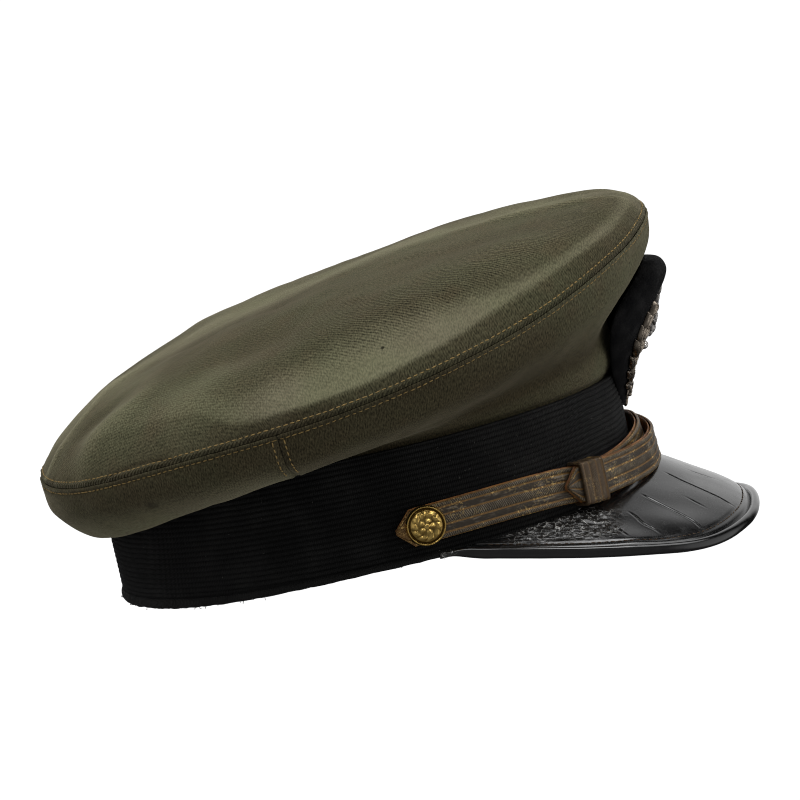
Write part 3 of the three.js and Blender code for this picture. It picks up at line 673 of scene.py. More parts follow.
def lace_material():
    """Gold lace: ticked cords and dark tarnished bands along the strap, with brown silk lines between; the
    bands' silvery streaks are painted sheen.
    """
    s = Shader("gold_lace", specular_ior_level=0.5, metallic=0.2)
    along, side = s.split(s.cloth, 0), s.split(s.cloth, 1)
    across = s.math("ABSOLUTE", side)

    def stripe(low, high):
        return s.minus(s.ramp(across, low - 0.12, low + 0.12), s.ramp(across, high - 0.12, high + 0.12))

    cords = s.plus(stripe(-1, LACE["middle"]), stripe(LACE["band"] + LACE["line"], LACE["cord"]))
    lines = s.plus(stripe(LACE["middle"], LACE["middle"] + LACE["line"]),
                   stripe(LACE["band"], LACE["band"] + LACE["line"]))
    silk = s.math("MINIMUM", s.plus(s.plus(lines, stripe(LACE["cord"], 20)), s.point("bare")), 1)
    ticks = s.ramp(s.stripes(s.scaled(s.noise(3), 1.2, s.scaled(side, 0.3, along)), LACE["tick"]), 0.3, 0.85)
    drawn = s.add("ShaderNodeCombineXYZ", [s.times(along, 0.14), side, 0])
    # Silvery streaks along the bands: painted sheen.
    painted_sheen_streak = s.times(s.ramp(s.noise(0.8, drawn, detail=4), 0.46, 0.64), s.ramp(s.noise(5), 0.42, 0.62))
    fibre = s.noise(0.7, detail=5)
    rubbed = s.ramp(s.noise(4, detail=4), 0.4, 0.65)
    fleck = s.times(s.ramp(s.noise(0.8, detail=5), 0.52, 0.62), s.ramp(s.noise(9), 0.42, 0.6))
    band = s.blend(painted_sheen_streak, (0.048, 0.036, 0.024), (0.21, 0.175, 0.13))
    cord = s.blend(s.times(ticks, s.scaled(rubbed, 0.6, 0.4)), (0.05, 0.036, 0.022), (0.25, 0.205, 0.14))
    metal = s.blend(s.times(cords, s.scaled(s.point("bare"), -2, 1)), band, cord)
    metal = s.blend(s.times(fleck, 0.45), metal, (0.5, 0.35, 0.13))
    thread = s.blend(fibre, (0.1, 0.05, 0.015), (0.31, 0.17, 0.05))
    thread = s.blend(fleck, thread, (0.75, 0.5, 0.17))
    base = s.blend(s.point("soiled"), s.blend(silk, metal, thread), (0.03, 0.021, 0.013))
    s.drive(base_color=base, roughness=s.scaled(fibre, 0.25, 0.34))
    s.relief((s.times(ticks, cords), 0.16), (fibre, 0.15), (painted_sheen_streak, 0.08))
    return s.material


def metal_material(name, bright, dull, roughness):
    """Struck metal, dull in its hollows and rubbed bright on what stands up."""
    s = Shader(name, metallic=1.0)
    hollow = s.point("hollow")
    spots = s.ramp(s.noise(1.6, detail=5), 0.45, 0.72)
    base = s.blend(s.times(spots, 0.45), bright, dull)
    base = s.blend(hollow, base, tuple(c * 0.22 for c in dull))
    s.drive(base_color=base, roughness=s.scaled(spots, 0.2, roughness))
    s.relief((s.noise(0.8, detail=4), 0.07))
    return s.material


def velvet_material():
    """Black velvet over padding."""
    s = Shader("black_velvet", roughness=0.9, sheen_weight=0.06, sheen_roughness=0.3,
               sheen_tint=(0.4, 0.4, 0.42, 1), specular_ior_level=0.1)
    pile = s.noise(0.45, detail=4)
    brushed = s.ramp(s.noise(7), 0.4, 0.7)
    s.drive(base_color=s.blend(s.times(brushed, pile), (0.003, 0.003, 0.0035), (0.014, 0.0135, 0.0135)))
    s.relief((pile, 0.3))
    return s.material


def thread_material(name, light, dark):
    s = Shader(name, roughness=0.7, specular_ior_level=0.3)
    s.drive(base_color=s.blend(s.noise(1.5, detail=4), light, dark))
    s.relief((s.noise(0.25), 0.08))
    return s.material


def marks():
    """Small marks on the cloth: wear, and at the nip a dark spot of painted shade in a small pinch; place in
    the row's frame in mm, size, strength and tint.
    """
    nip, hole = top_point(np.array(-82.0), np.array(0.917)), place(-24, 22.5, 92)
    stain, speck = place(-130, 23, 46), top_point(np.array(-160.0), np.array(0.94))
    dark, pale = (0.006, 0.005, 0.004), (0.4, 0.38, 0.3)
    rows = (nip, 0.9, 0.85, dark), (hole, 0.8, 0.9, dark), (stain, 3.2, 0.4, dark), (speck, 0.45, 0.8, pale)
    return [(tuple(1000 * to_row(spot)), size, depth, tint) for spot, size, depth, tint in rows]


MATERIALS = {
    "olive_cloth": cloth_material(),
    "ribbed_band": ribbed_material(),
    "patent_leather": patent_material(),
    "strap_leather": leather_material(),
    "gold_lace": lace_material(),
    "gilt": metal_material("gilt", (0.9, 0.62, 0.19), (0.5, 0.3, 0.08), 0.24),
    "silver": metal_material("silver", (0.85, 0.81, 0.77), (0.27, 0.24, 0.21), 0.2),
    "mount_cloth": velvet_material(),
}
AGED_GILT = metal_material("aged_gilt", (0.55, 0.47, 0.38), (0.17, 0.135, 0.105), 0.2)
OCHRE_THREAD = thread_material("ochre_thread", (0.32, 0.215, 0.072), (0.19, 0.122, 0.042))
BROWN_THREAD = thread_material("brown_thread", (0.075, 0.045, 0.022), (0.03, 0.019, 0.012))
PALE_FLUFF = thread_material("pale_fluff", (0.17, 0.165, 0.15), (0.07, 0.067, 0.06))
BLACK_FLUFF = thread_material("black_fluff", (0.012, 0.012, 0.012), (0.005, 0.005, 0.005))


def finished(made, slot, *nodes, material=None):
    """A piece with its material that rides on the cap and stands for CAD nodes."""
    made.data.materials.append(material or MATERIALS[slot])
    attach(made, "root")
    if nodes:
        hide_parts(*nodes)
    return made


# Crown
def crown_top():
    columns, rows = 360, 84
    angle = np.linspace(0, 360, columns, endpoint=False)[None]
    part = np.sin(np.linspace(np.pi / 2, 0, rows))[:, None]
    base = top_point(angle, part)
    face = normals(base, True)
    face[-1] = (0, 0, 1)
    edge = run(base, 0)
    along = run(np.concatenate([base[:1], base[:1, :1]], 1), 1)[:, :-1]
    x, y = base[..., 0], base[..., 1]
    soft = 0.6 * wander(x, y, 26, 11) + 0.28 * wander(x, y, 9, 12)
    crease, folded = crease_height(x, y)
    far = around(SHOULDER, "distance", angle)
    past = edge - far
    tent = 1 - np.sqrt((past / np.where(past > 0, SHOULDER_WIDTH, 0.85 * far)) ** 2 + 0.05**2)
    height = around(SHOULDER, "height", angle) * (1 + 0.25 * wander(along[:1], 0, 17, 13))
    turn = (angle - PLEAT["from"]) / (PLEAT["to"] - PLEAT["from"])
    pleat = bump(edge, PLEAT["reach"] * np.sin(np.pi * np.clip(turn, 0, 1)), 0.5)
    pleat = pleat * ((turn > 0) & (turn < 1))
    lift = sewn(edge, along) - PLEAT["depth"] * pleat + (soft + crease) * smooth(edge / 12)
    lift = lift + height * np.maximum(tent, 0) ** 1.3
    lean = mix(mitre(angle), face, smooth(edge / 1.2)[..., None])
    outer = base + unit(lean) * lift[..., None]
    inner = base - mix(mitre(angle), face, smooth(edge / 3)[..., None]) * CLOTH["wall"]
    reach = edge[-1:] - edge
    flat = reach[..., None] * unit(np.stack([x, y], -1) + [1e-6 - CROWN["centre_x"], 0])
    # Darker: grime by the seam and at random, with painted shade in the pleat and between the folds.
    handled = 0.2 + 0.8 * pleat + 0.22 * bump(edge, 0, 0.7 * far) + 0.25 * wander(x, y, 40, 14)
    handled = handled + np.clip(-crease / 3, 0, 0.4)
    # Paler along the ridge (wear and painted highlight), on fold crests and raised soft bumps (painted
    # highlight), and in the patches.
    fade = smooth(1.25 - past / around(SHOULDER, "fade", angle))
    rubbed = 0.25 * bump(past, 0.4, 1.0) + 0.85 * smooth(past / 4 + 0.5) * fade
    worn = rubbed * around(SHOULDER, "worn", angle) + 0.5 * folded + mounds(PATCHES, x, y) + 0.2 * soft
    # Darker by the seam at the rear: grime and painted shade.
    rear = smooth((from_front(angle) - 80) / 25)
    handled, worn = np.clip(handled + 0.4 * rear * bump(edge, 0, 9), 0, 1), np.clip(worn, 0, 1)
    wale = mix(1.25 * smooth((past - 3) / 14), 0.5 * smooth((edge - 2) / 4), rear) * (1 - 0.8 * worn)
    cross = 0.38 * (1 - rear) * smooth((edge - 1) / 2) * smooth(0.8 - past / 6) * (1 - 0.8 * worn)
    lengths = np.append(along[0], along[0, -1] + along[0, 1])
    seam = stacked(lengths[None], np.concatenate([edge, edge[:, :1]], 1))
    uv = np.concatenate([np.concatenate([flat, flat[:, :1]], 1), seam], -1)
    made = wall("crown_top", outer, inner, True, uv, handled=handled, worn=worn, wale=wale, cross=cross,
                gather=1.0)
    return finished(made, "olive_cloth", "crown_top"), (outer, face, edge)


def crown_side(name, start, end, columns):
    rows = 84
    angle = np.linspace(start + SIDE_SEAM["half_gap"], end - SIDE_SEAM["half_gap"], columns)
    profile = side_profile(angle, rows)
    base = place(angle[None], profile[..., 0], profile[..., 1])
    face = normals(base, False)
    edge = run(base[::-1], 0)[::-1]
    along = run(base, 1)
    ends = np.minimum(along, along[:, -1:] - along)
    free = smooth(run(base, 0) / 12 - 0.8)
    soft = 0.45 * wander(along[-1:], edge, 22, 21) + 0.2 * wander(along[-1:], edge, 8, 22)
    soft = soft * smooth(edge / 8) * smooth(ends / 8)
    lift = sewn(edge, along[-1:]) + free * (0.75 * sewn(ends, edge) + soft)
    knot = knots(rows)[:, None]
    fore = smooth((78 - np.abs(angle)) / 20)[None] * (1 + 0.3 * wander(angle, 0, 14, 24))[None]
    for height, middle, width in SIDE_FOLD:
        lift = lift + fore * height * bump(knot, middle, width)
    lean = unit(mix(mitre(angle)[None], face, smooth(edge / 1.2)[..., None]))
    outer = base + lean * lift[..., None]
    inner = base - mix(mitre(angle)[None], face, smooth(edge / 3)[..., None]) * CLOTH["wall"]
    lengths = np.broadcast_to(along[-1:], edge.shape)
    flat = np.stack([lengths, -edge, lengths, edge], -1)
    # Darker towards the rear of the sides (grime and painted shade) and in the front fold (painted shade).
    handled = 0.8 - 0.65 * smooth((60 - np.abs(angle)) / 40)[None] + 0.2 * wander(along[-1:], edge, 30, 23)
    handled = np.clip(handled + 0.8 * fore * bump(knot, 3.9, 0.6), 0, 1)
    rear = smooth((85 - np.abs(angle % 360 - 180)) / 15)
    # Paler under the rear fold (painted light from below) and just under the seam at the front (painted
    # highlight).
    worn = 0.6 * bump(knot, 4.1, 0.7) * rear + 0.12 * fore * bump(edge, 1, 5)
    cross = 0.25 + 0.45 * smooth((60 - np.abs(angle)) / 30)[None] + 0 * edge
    made = wall(name, outer, inner, False, flat, handled=handled, worn=worn, gather=0.25, cross=cross)
    return finished(made, "olive_cloth", name), (outer, face, edge, ends, free)


def line_at(grid, face, distance, level):
    """Points and normals where each column of a grid reaches a distance."""
    rising = distance[0, 0] < distance[-1, 0]
    row = np.clip((distance > level if rising else distance < level).argmax(0), 1, len(grid) - 1)
    column = np.arange(grid.shape[1])
    near, far = distance[row - 1, column], distance[row, column]
    share = ((level - near) / (far - near))[:, None]
    points, up = (mix(a[row - 1, column], a[row, column], share) for a in (grid, face))
    return points, unit(up)


def stitch_frames(points, up, rng):
    """Frames of the stitches along a line of points."""
    length = run(points[None], 1)[0]
    count = int(length[-1] / STITCH["pitch"])
    at = (np.arange(count) + 0.5) * length[-1] / count + rng.uniform(-0.12, 0.12, count)
    centre, head, normal = (np.stack([np.interp(at + d, length, v[:, k]) for k in range(3)], -1)
                            for d, v in ((0, points), (0.3, points), (0, up)))
    half = STITCH["length"] / 2 * rng.uniform(0.85, 1.1, count)
    size = np.stack([half, np.full(count, STITCH["radius"]), np.full(count, STITCH["radius"] * 0.8)], -1)
    along = unit(head - centre) + rng.normal(0, 0.08, (count, 3))
    sunk = 0.05 + 0.1 * wander(at, 0, 5, 16)
    return frames_at(centre + normal * sunk[:, None], along, normal, size)


def crown_stitches(top, sides):
    rng = np.random.default_rng(5)
    outer, face, edge = top
    points, up = line_at(outer, face, edge, SEAM["row"])
    frames = [stitch_frames(np.concatenate([points, points[:1]]), np.concatenate([up, up[:1]]), rng)]
    for outer, face, edge, ends, free in sides:
        points, up = line_at(outer, face, edge, SEAM["row"])
        frames.append(stitch_frames(points, up, rng))
        for flip in (1, -1):
            o, f, e = (a[:, ::flip].transpose(1, 0, *range(2, a.ndim)) for a in (outer, face, ends))
            points, up = line_at(o, f, e, SEAM["row"])
            seen = (edge[:, 0] < SEAM["hem"]) & (edge[:, 0] > SEAM["row"])
            frames.append(stitch_frames(points[seen], up[seen], rng))
    points, faces = ball(6, 5)
    made = copies("crown_stitches", points, faces, np.concatenate(frames))
    return finished(made, "gold_lace", material=OCHRE_THREAD)


# Band
def band_bottom(angle):
    return around(LOWER_EDGE, "z", angle) + around(LOWER_EDGE, "edge", angle)


def rib(z):
    """Height of the band's ribs, and how deep a point lies between them."""
    sunk = np.abs(2 * (z / RIBS["pitch"] % 1) - 1) ** 2.5
    return RIBS["depth"] * (0.35 - sunk), sunk


def band():
    columns, rows = 240, 156
    angle = np.linspace(180, 540, columns, endpoint=False)
    low = band_bottom(angle)[None] - BAND["lap"]
    z = mix(low, BAND["top"], np.linspace(0, 1, rows)[:, None])
    ring = place(angle, 0, 0)
    along = np.append(run(ring[None], 1)[0], 0)
    along[-1] = along[-2] + along[1]
    wave = 0.25 * wander(along[:-1][None], z, 30, 31) + 0.12 * wander(along[:-1][None], z, 7, 32)
    ribs, sunk = rib(z + wave)
    # Darkest in a line just above the welt: painted shade in the gap between band and welt.
    sunk = np.maximum(sunk, 1.1 * bump(z - low, BAND["lap"] + 0.3, 0.5))
    outer = place(angle[None], ribs + 0.15 * wander(along[:-1][None], z, 12, 33), z)
    # Greyer towards the front: rubbing and dust, with painted light on the side facing the light.
    front = smooth((85 - from_front(angle)) / 45)[None]
    inner = place(angle[None], -BAND["wall"], z)
    uv = stacked(along[None], np.concatenate([z, z[:, :1]], 1))
    return finished(wall("band", outer, inner, True, uv, sunk=sunk, front=front), "ribbed_band", "band")


def floor_height(x):
    return REST["flatten"] - (x + BAND["half_length"]) * math.tan(math.radians(REST["pitch"]))


def band_welt():
    steps, sides = 260, 20
    angle = np.linspace(WELT["from"], 360 - WELT["from"], steps)[:, None]
    turn = turns(sides)[None]
    low = around(LOWER_EDGE, "z", angle)
    half = (around(LOWER_EDGE, "edge", angle) - GAP) / 2
    wide = (BAND["wall"] + WELT["overhang"]) / 2
    worn = 1 + 0.1 * wander(angle, turn, 1.7, 41) + 0.06 * wander(angle, turn, 0.6, 42)
    close = np.sqrt(smooth(np.minimum(angle - WELT["from"], 360 - WELT["from"] - angle) / 1.5 + 0.02))
    out = WELT["overhang"] - wide + wide * np.cos(turn) * worn * close
    grid = place(angle, out, low + half + half * np.sin(turn) * worn * close)
    grid[..., 2] = np.maximum(grid[..., 2], floor_height(grid[..., 0]))
    # Greyed all over as a painted highlight that sets the welt off from the band.
    return finished(tube("band_welt", grid, 1.6, front=0.35), "ribbed_band", "band_welt")


def tube(name, grid, across=1.0, **values):
    """A closed rod through loops of points, with flat ends."""
    steps, sides = grid.shape[:2]
    middle = grid.mean(1)
    points = np.concatenate([grid.reshape(-1, 3), middle[:1], middle[-1:]])
    ring = np.arange(sides)
    first = np.stack([np.roll(ring, -1), ring, 0 * ring + steps * sides, 0 * ring + steps * sides], -1)
    last = np.stack([ring, np.roll(ring, -1), 0 * ring + 1, 0 * ring + 1], -1)
    last[:, :2] += (steps - 1) * sides
    last[:, 2:] += steps * sides
    faces = np.concatenate([loop_faces(steps, sides), first, last])
    if inside_out(points, faces):
        faces = faces[:, ::-1]
    along = run(middle[None], 1)[0]
    u = np.broadcast_to(along[:, None], (steps, sides)).ravel()
    v = np.broadcast_to(np.arange(sides) * across, (steps, sides)).ravel()
    uv = np.stack([np.append(u, [0, 0]), np.append(v, [0, 0])], -1)[faces]
    for key, value in values.items():
        values[key] = np.append(np.broadcast_to(value, (steps, sides)).ravel(), [0, 0])
    return joined(mesh_object(name, points, faces, uv, **values))


# Visor
def rim_at(column, angle):
    """The visor's rim, which is a little fuller on the wearer's left."""
    return around(RIM, column, angle) + FULLER[column] * bump(angle, FULLER["angle"], FULLER["spread"])


def visor():
    columns, rows = 680, 54
    angle = np.linspace(-VISOR["corner"], VISOR["corner"], columns)[None]
    part = np.linspace(0, 1, rows)[:, None]
    rim = rim_at("reach", angle) - BINDING["radius"] + VISOR["lap"]
    out = mix(-VISOR["root_inset"], np.maximum(rim, 1 - VISOR["root_inset"]), part)
    root = band_bottom(angle) - GAP
    edge = rim_at("z", angle) + VISOR["wall"] / 2
    z = mix(root, edge, part) + VISOR["bulge"] * (1 - (2 * part - 1) ** 4) * rim / RIM["reach"][0]
    base = place(angle, out, z)
    face = -normals(base, False)
    face *= np.sign(face[..., 2:])
    along = run(base, 1) - run(base, 1)[:, columns // 2, None]
    depth = run(base, 0)
    inside = depth[-1:] - depth
    crack, lip = np.zeros_like(depth), np.zeros_like(depth)
    for middle, start, end, lean, deep in zip(*CRACKS.values()):
        bend = lean * (part - start) + 0.5 * wander(part, middle, 0.16, 51)
        gap = np.radians(angle - middle - bend) * (90 + out)
        ends = smooth((part - start) / CRACK["fade"]) * smooth((end - part) / CRACK["fade"])
        crack = np.maximum(crack, deep * ends * bump(gap, 0, CRACK["width"]))
        rims = sum(bump(gap, side * CRACK["lip_at"], CRACK["lip_width"]) for side in (1, -1))
        lip = lip + CRACK["lip"] * deep * ends * rims
    flaked = flaked_share(angle, part) * smooth(inside / 4 - 0.6)
    chips = FLAKED["fine"] * wander(along, depth, 1.5, 52) + FLAKED["coarse"] * wander(along, depth, 3.2, 53)
    groove = -0.55 * bump(inside, 1.0, 0.7) - 0.3 * bump(inside, VISOR["row"], 0.55)
    wave = 0.3 * wander(along, depth, 16, 54) * smooth(inside / 6)
    outer = base + face * (flaked * chips + groove + wave + lip - CRACK["sunk"] * crack)[..., None]
    inner = base - face * VISOR["wall"]
    uv = np.stack([along, depth], -1)
    made = wall("visor", outer, inner, False, uv, crack=np.clip(2 * crack, 0, 1), flaked=flaked)
    return finished(made, "patent_leather", "visor"), (outer, face, inside)


def flaked_share(angle, part):
    """Where the varnish has flaked: beside the strap on both sides of the visor."""
    ragged = 0.25 * wander(angle, part * 30, 5, 55)
    aside = (np.abs(angle) - FLAKED["angle"]) / FLAKED["spread"]
    return smooth(1.6 - np.hypot(aside, (part - FLAKED["part"]) / FLAKED["reach"]) * 1.3 + ragged)


def visor_stitches(outer, face, inside):
    points, up = line_at(outer, face, inside, VISOR["row"])
    seen = inside[0] > 9
    frames = stitch_frames(points[seen], up[seen], np.random.default_rng(6))
    points, faces = ball(6, 5)
    return finished(copies("visor_stitches", points, faces, frames), "patent_leather", material=BROWN_THREAD)


def visor_binding():
    steps, sides = 300, 24
    angle = np.linspace(-1, 1, steps)[:, None] * (VISOR["corner"] + BINDING["tail"])
    turn = turns(sides)[None]
    lump = 1 + 0.03 * wander(angle, turn, 2.5, 61)
    tail = smooth((np.abs(angle) - 72) / 5)
    reach = BINDING["radius"] * lump * (1 - 0.35 * tail)
    out = rim_at("reach", angle) - 0.9 * tail
    rise = BINDING["rise"] * (1 - tail)
    z = rim_at("z", angle) + rise + (reach + rise) * np.sin(turn)
    grid = place(angle, out + reach * np.cos(turn), z)
    made = tube("visor_binding", grid, 0.45, crack=0.0, bound=1.0, flaked=smooth((-75 - angle) / 2))
    return finished(made, "patent_leather", "visor_binding")


# Chin strap
def lace_height(across):
    """Height of the lace's bands, with a groove at each silk line."""
    inner, outer = LACE["middle"] + LACE["line"], LACE["band"] + LACE["line"]
    height = np.zeros_like(across)
    for name, low in (("middle", -LACE["middle"]), ("band", inner), ("cord", outer)):
        high, rise = LACE[name], LACE[name + "_rise"]
        share = (np.abs(across) - (low + high) / 2) / ((high - low) / 2)
        height = np.maximum(height, rise * (1 - np.minimum(np.abs(share), 1) ** 3))
    return height


def strap_grid(route, out, inset, rows, columns):
    first, last = route["angle"][0], route["angle"][-1]
    part = np.linspace(0, 1, columns)[None]
    angle = mix(first, last, part)
    arc = abs(last - first) * math.radians(1) * BAND["half_width"]
    taper = np.minimum(1, STRAP["blunt"] + np.minimum(part, 1 - part) * arc / STRAP["point"])
    across = np.linspace(-1, 1, rows)[:, None] * (STRAP["width"] / 2 - inset)
    lean = np.radians(between(route, "lean", angle))
    z = between(route, "z", angle) + across * taper * np.cos(lean)
    out = between(route, "out", angle) + out - across * taper * np.sin(lean)
    return angle, out, z, np.broadcast_to(across, z.shape), part * arc + 0 * z


def strap_piece(name, route, start, thick, inset, relief, slot):
    rows, columns = (46, 300) if relief else (14, 240)
    angle, out, z, across, along = strap_grid(route, start, inset, rows, columns)
    rounded = 1 - np.abs(across / (STRAP["width"] / 2 - inset)) ** 6
    height = thick * (0.55 + 0.45 * rounded)
    bare = 0 * height
    if relief:
        height = thick * 0.6 + lace_height(across) + 0.05 * wander(along, across, 2.5, 71)
        bare = smooth((LACE["tab"] - along) / 1.5)
    outer = place(angle, out + height, z)
    inner = place(angle, out + thick * (0.45 if not relief else 0) * (1 - rounded), z)
    made = wall(name, outer, inner, False, np.stack([along, across], -1), bare=bare)
    return finished(made, slot, name)


def slide(name, side):
    rows, columns = 30, 96
    angle = side * np.linspace(SLIDE["from"], SLIDE["to"], rows)[:, None]
    layer = STRAP["leather"] + GAP + STRAP["lace"]
    low, high = SLIDE["inner"] - SLIDE["clear"], SLIDE["outer"] + layer + SLIDE["clear"]
    half = STRAP["width"] / 2 + SLIDE["clear"]
    turn = turns(columns)[None]
    middle = between(RIGHT_ROUTE, "z", -np.abs(angle))

    def ring(grow, corner):
        """A rounded rectangle round both strap halves."""
        c, s = np.cos(turn), np.sin(turn)
        size = (np.abs(c) ** corner + np.abs(s) ** corner) ** (-1 / corner)
        return (low + high) / 2 + ((high - low) / 2 + grow) * c * size, middle + (half + grow) * s * size

    width = abs(SLIDE["to"] - SLIDE["from"]) * math.radians(1) * (BAND["half_length"] - 8)
    along = np.linspace(-0.5, 0.5, rows)[:, None] * width
    rise = lace_height(along * (STRAP["width"] / width) * 0.92) * 0.8
    out, z = ring(SLIDE["wall"] * 0.75 + rise, 9)
    outer = place(angle, out, z)
    out, z = ring(0 * rise, 14)
    inner = place(angle, out, z)
    girth = np.linspace(0, 2 * (high - low + 2 * half), columns + 1)[None]
    uv = stacked(girth, along)
    return finished(wall(name, outer, inner, True, uv, bare=0 * rise + 0.42, soiled=0.45), "gold_lace", name)


# Buttons
def button(name, side):
    sides, rings = 144, 60
    seat = BUTTON["seat"] + STRAP["leather"] + GAP + STRAP["lace"] + GAP
    turn = turns(sides)[None]
    share = np.linspace(1, 0, rings)[:, None]
    dome = BUTTON["height"] * (0.5 + 0.42 * (1 - share**2))
    collar = 0.5 * bump(share, 0.93, 0.05) - 0.3 * bump(share, 0.83, 0.04)
    wreath = 0.75 * np.abs(np.sin(5 * turn + 4 * share)) ** 0.7 * bump(share, 0.6, 0.13)
    flower = 0.7 * (0.5 + 0.5 * np.cos(5 * turn + 0.4)) * bump(share, 0.27, 0.11)
    boss = 0.6 * np.sqrt(np.clip(1 - (share / 0.13) ** 2, 0, 1))
    x, y = 9 * share * np.cos(turn) + 40, 9 * share * np.sin(turn) + 40
    rubbed = 0.1 * wander(x, y, 1.1, 91) * smooth((0.8 - share) / 0.1)
    relief = collar + wreath + flower + boss + rubbed
    edge = 1 - 0.06 * smooth((share - 0.94) / 0.06)
    radius = BUTTON["radius"] * share * edge
    face = stacked(radius * np.cos(turn), radius * np.sin(turn), dome + relief)
    hollow = np.clip(0.8 - relief * 1.9, 0, 1) * smooth((0.9 - share) / 0.04)
    post_end = -(seat + BAND["wall"] + BUTTON["inside"])
    post, wide = BUTTON["post"], BUTTON["radius"]
    skirt = [(0.01, post_end), (post, post_end), (post, 0), (0.8 * wide, 0), (0.95 * wide, 0.5), (wide, 1.2)]
    circle = np.concatenate([np.cos(turn), np.sin(turn), 0 * turn]).T
    under = np.stack([r * circle + [0, 0, z] for r, z in skirt])
    grid = np.concatenate([under, face])
    shade = np.concatenate([np.zeros((len(skirt), sides)), np.broadcast_to(hollow, (rings, sides))])
    turned = standing(side * BUTTON["angle"], seat, BUTTON["z"], grid)
    return finished(tube(name, turned, hollow=shade), "gilt", name)


def standing(angle, out, z, grid):
    """A shape turned so that its Z points straight out from the band."""
    normal = outward(np.array(float(angle)))
    across = unit(np.cross((0, 0, 1), normal))
    axes = np.stack([across, np.array([0, 0, 1.0]), normal])
    return place(angle, out, z) + grid @ axes


# Badge
def mount_front(across, up):
    half = between(MOUNT_ROWS, "half", up)
    back = across**2 / (2 * MOUNT["curve"]) + MOUNT["puff"] * (across / half) ** 2
    x = between(MOUNT_ROWS, "x", up) - back
    return stacked(x, across, between(MOUNT_ROWS, "z", up))


def mount_height():
    return math.hypot(np.ptp(MOUNT_ROWS["x"]), np.ptp(MOUNT_ROWS["z"]))


def mount_frame(across, rise, lift, heading, size):
    """The place and turn of a metal piece on the mount: across it, up from its foot and off its front."""
    up = rise / mount_height()

    def front(aside, higher):
        return mount_front(np.array(across + aside), np.array(up + higher))

    point = front(0.0, 0)
    rising = unit(front(0.0, 0.01) - front(0.0, -0.01))
    aside = unit(front(1.0, 0) - front(-1.0, 0))
    normal = unit(np.cross(aside, rising))
    along = aside * math.cos(heading) + rising * math.sin(heading)
    return frames_at((point + normal * lift)[None], along[None], normal[None], np.array([size], float))[0]


def badge_mount():
    """A padded plate with a round edge, fullest near its top."""
    rows, columns = 72, 72
    up = np.sin(np.linspace(0, np.pi / 2, rows))[:, None]
    share = np.sin(np.linspace(-np.pi / 2, np.pi / 2, columns))[None]
    half, thick = between(MOUNT_ROWS, "half", up), between(MOUNT_ROWS, "thick", up)
    across = half * share
    edge = np.minimum((1 - np.abs(share)) * half, (1 - up) * mount_height())
    round_off = np.sqrt(1 - (1 - np.minimum(edge / MOUNT["round"], 1)) ** 2)
    front = mount_front(across, up)
    middle = front - thick[..., None] / 2 * [1, 0, 0]
    dimple = 0.25 * wander(across, up * 60, 9, 81) * round_off
    puff = MOUNT["roll"] * bump(up, 0.9, 0.12)
    outer = middle + (thick / 2 * round_off + dimple + puff * round_off)[..., None] * [1, 0, 0]
    inner = middle - (thick / 2 * mix(1, MOUNT["edge_share"], share**2) * round_off)[..., None] * [1, 0, 0]
    return finished(wall("badge_mount", outer, inner), "mount_cloth", "badge_mount")


def leaf_shape(rows=18, columns=13):
    """A pointed leaf of length and width 2 and height 1 with a sunk midrib, along X."""
    u = np.linspace(-1, 1, rows)[:, None]
    v = np.linspace(-1, 1, columns)[None]
    wide = np.clip(1 - u**2, 0, 1) ** 0.75 * (1 - 0.25 * u) + 0.02
    side_veins = 0.12 * np.cos(9 * (u + 0.7 * np.abs(v)) * np.pi)
    high = (1 - np.abs(v) ** 2.5) * np.clip(1 - u**2, 0, 1) ** 0.4 * (0.85 + side_veins)
    high = high - 0.35 * bump(v, 0, 0.14) * np.clip(1 - u**2, 0, 1)
    top = stacked(u, v * wide, np.maximum(high, 0.03))
    flat = top * np.array([1, 1, 0])
    corners = wall_corners(rows, columns, False)
    index = corners[..., 2] * rows * columns + corners[..., 0] * columns + corners[..., 1]
    hollow = np.clip(1 - 1.3 * top[..., 2], 0, 1)
    points = np.concatenate([top.reshape(-1, 3), flat.reshape(-1, 3)])
    return points, index[:, ::-1], np.tile(hollow.ravel(), 2)


def metal_copies(name, slot, shapes, material=None):
    """A metal piece of several small shapes, each with its frames."""
    meshes = []
    for k, (points, faces, hollow, frames) in enumerate(shapes):
        made = copies(f"{name}_{k}", points, faces, frames)
        data = made.data.attributes.new("hollow", "FLOAT", "POINT").data
        data.foreach_set("value", np.tile(hollow, len(frames)).astype(np.float32))
        meshes.append(made)
    with bpy.context.temp_override(active_object=meshes[0], selected_editable_objects=meshes):
        bpy.ops.object.join()
    meshes[0].name = name + "_detail"
    return finished(meshes[0], slot, name, material=material)


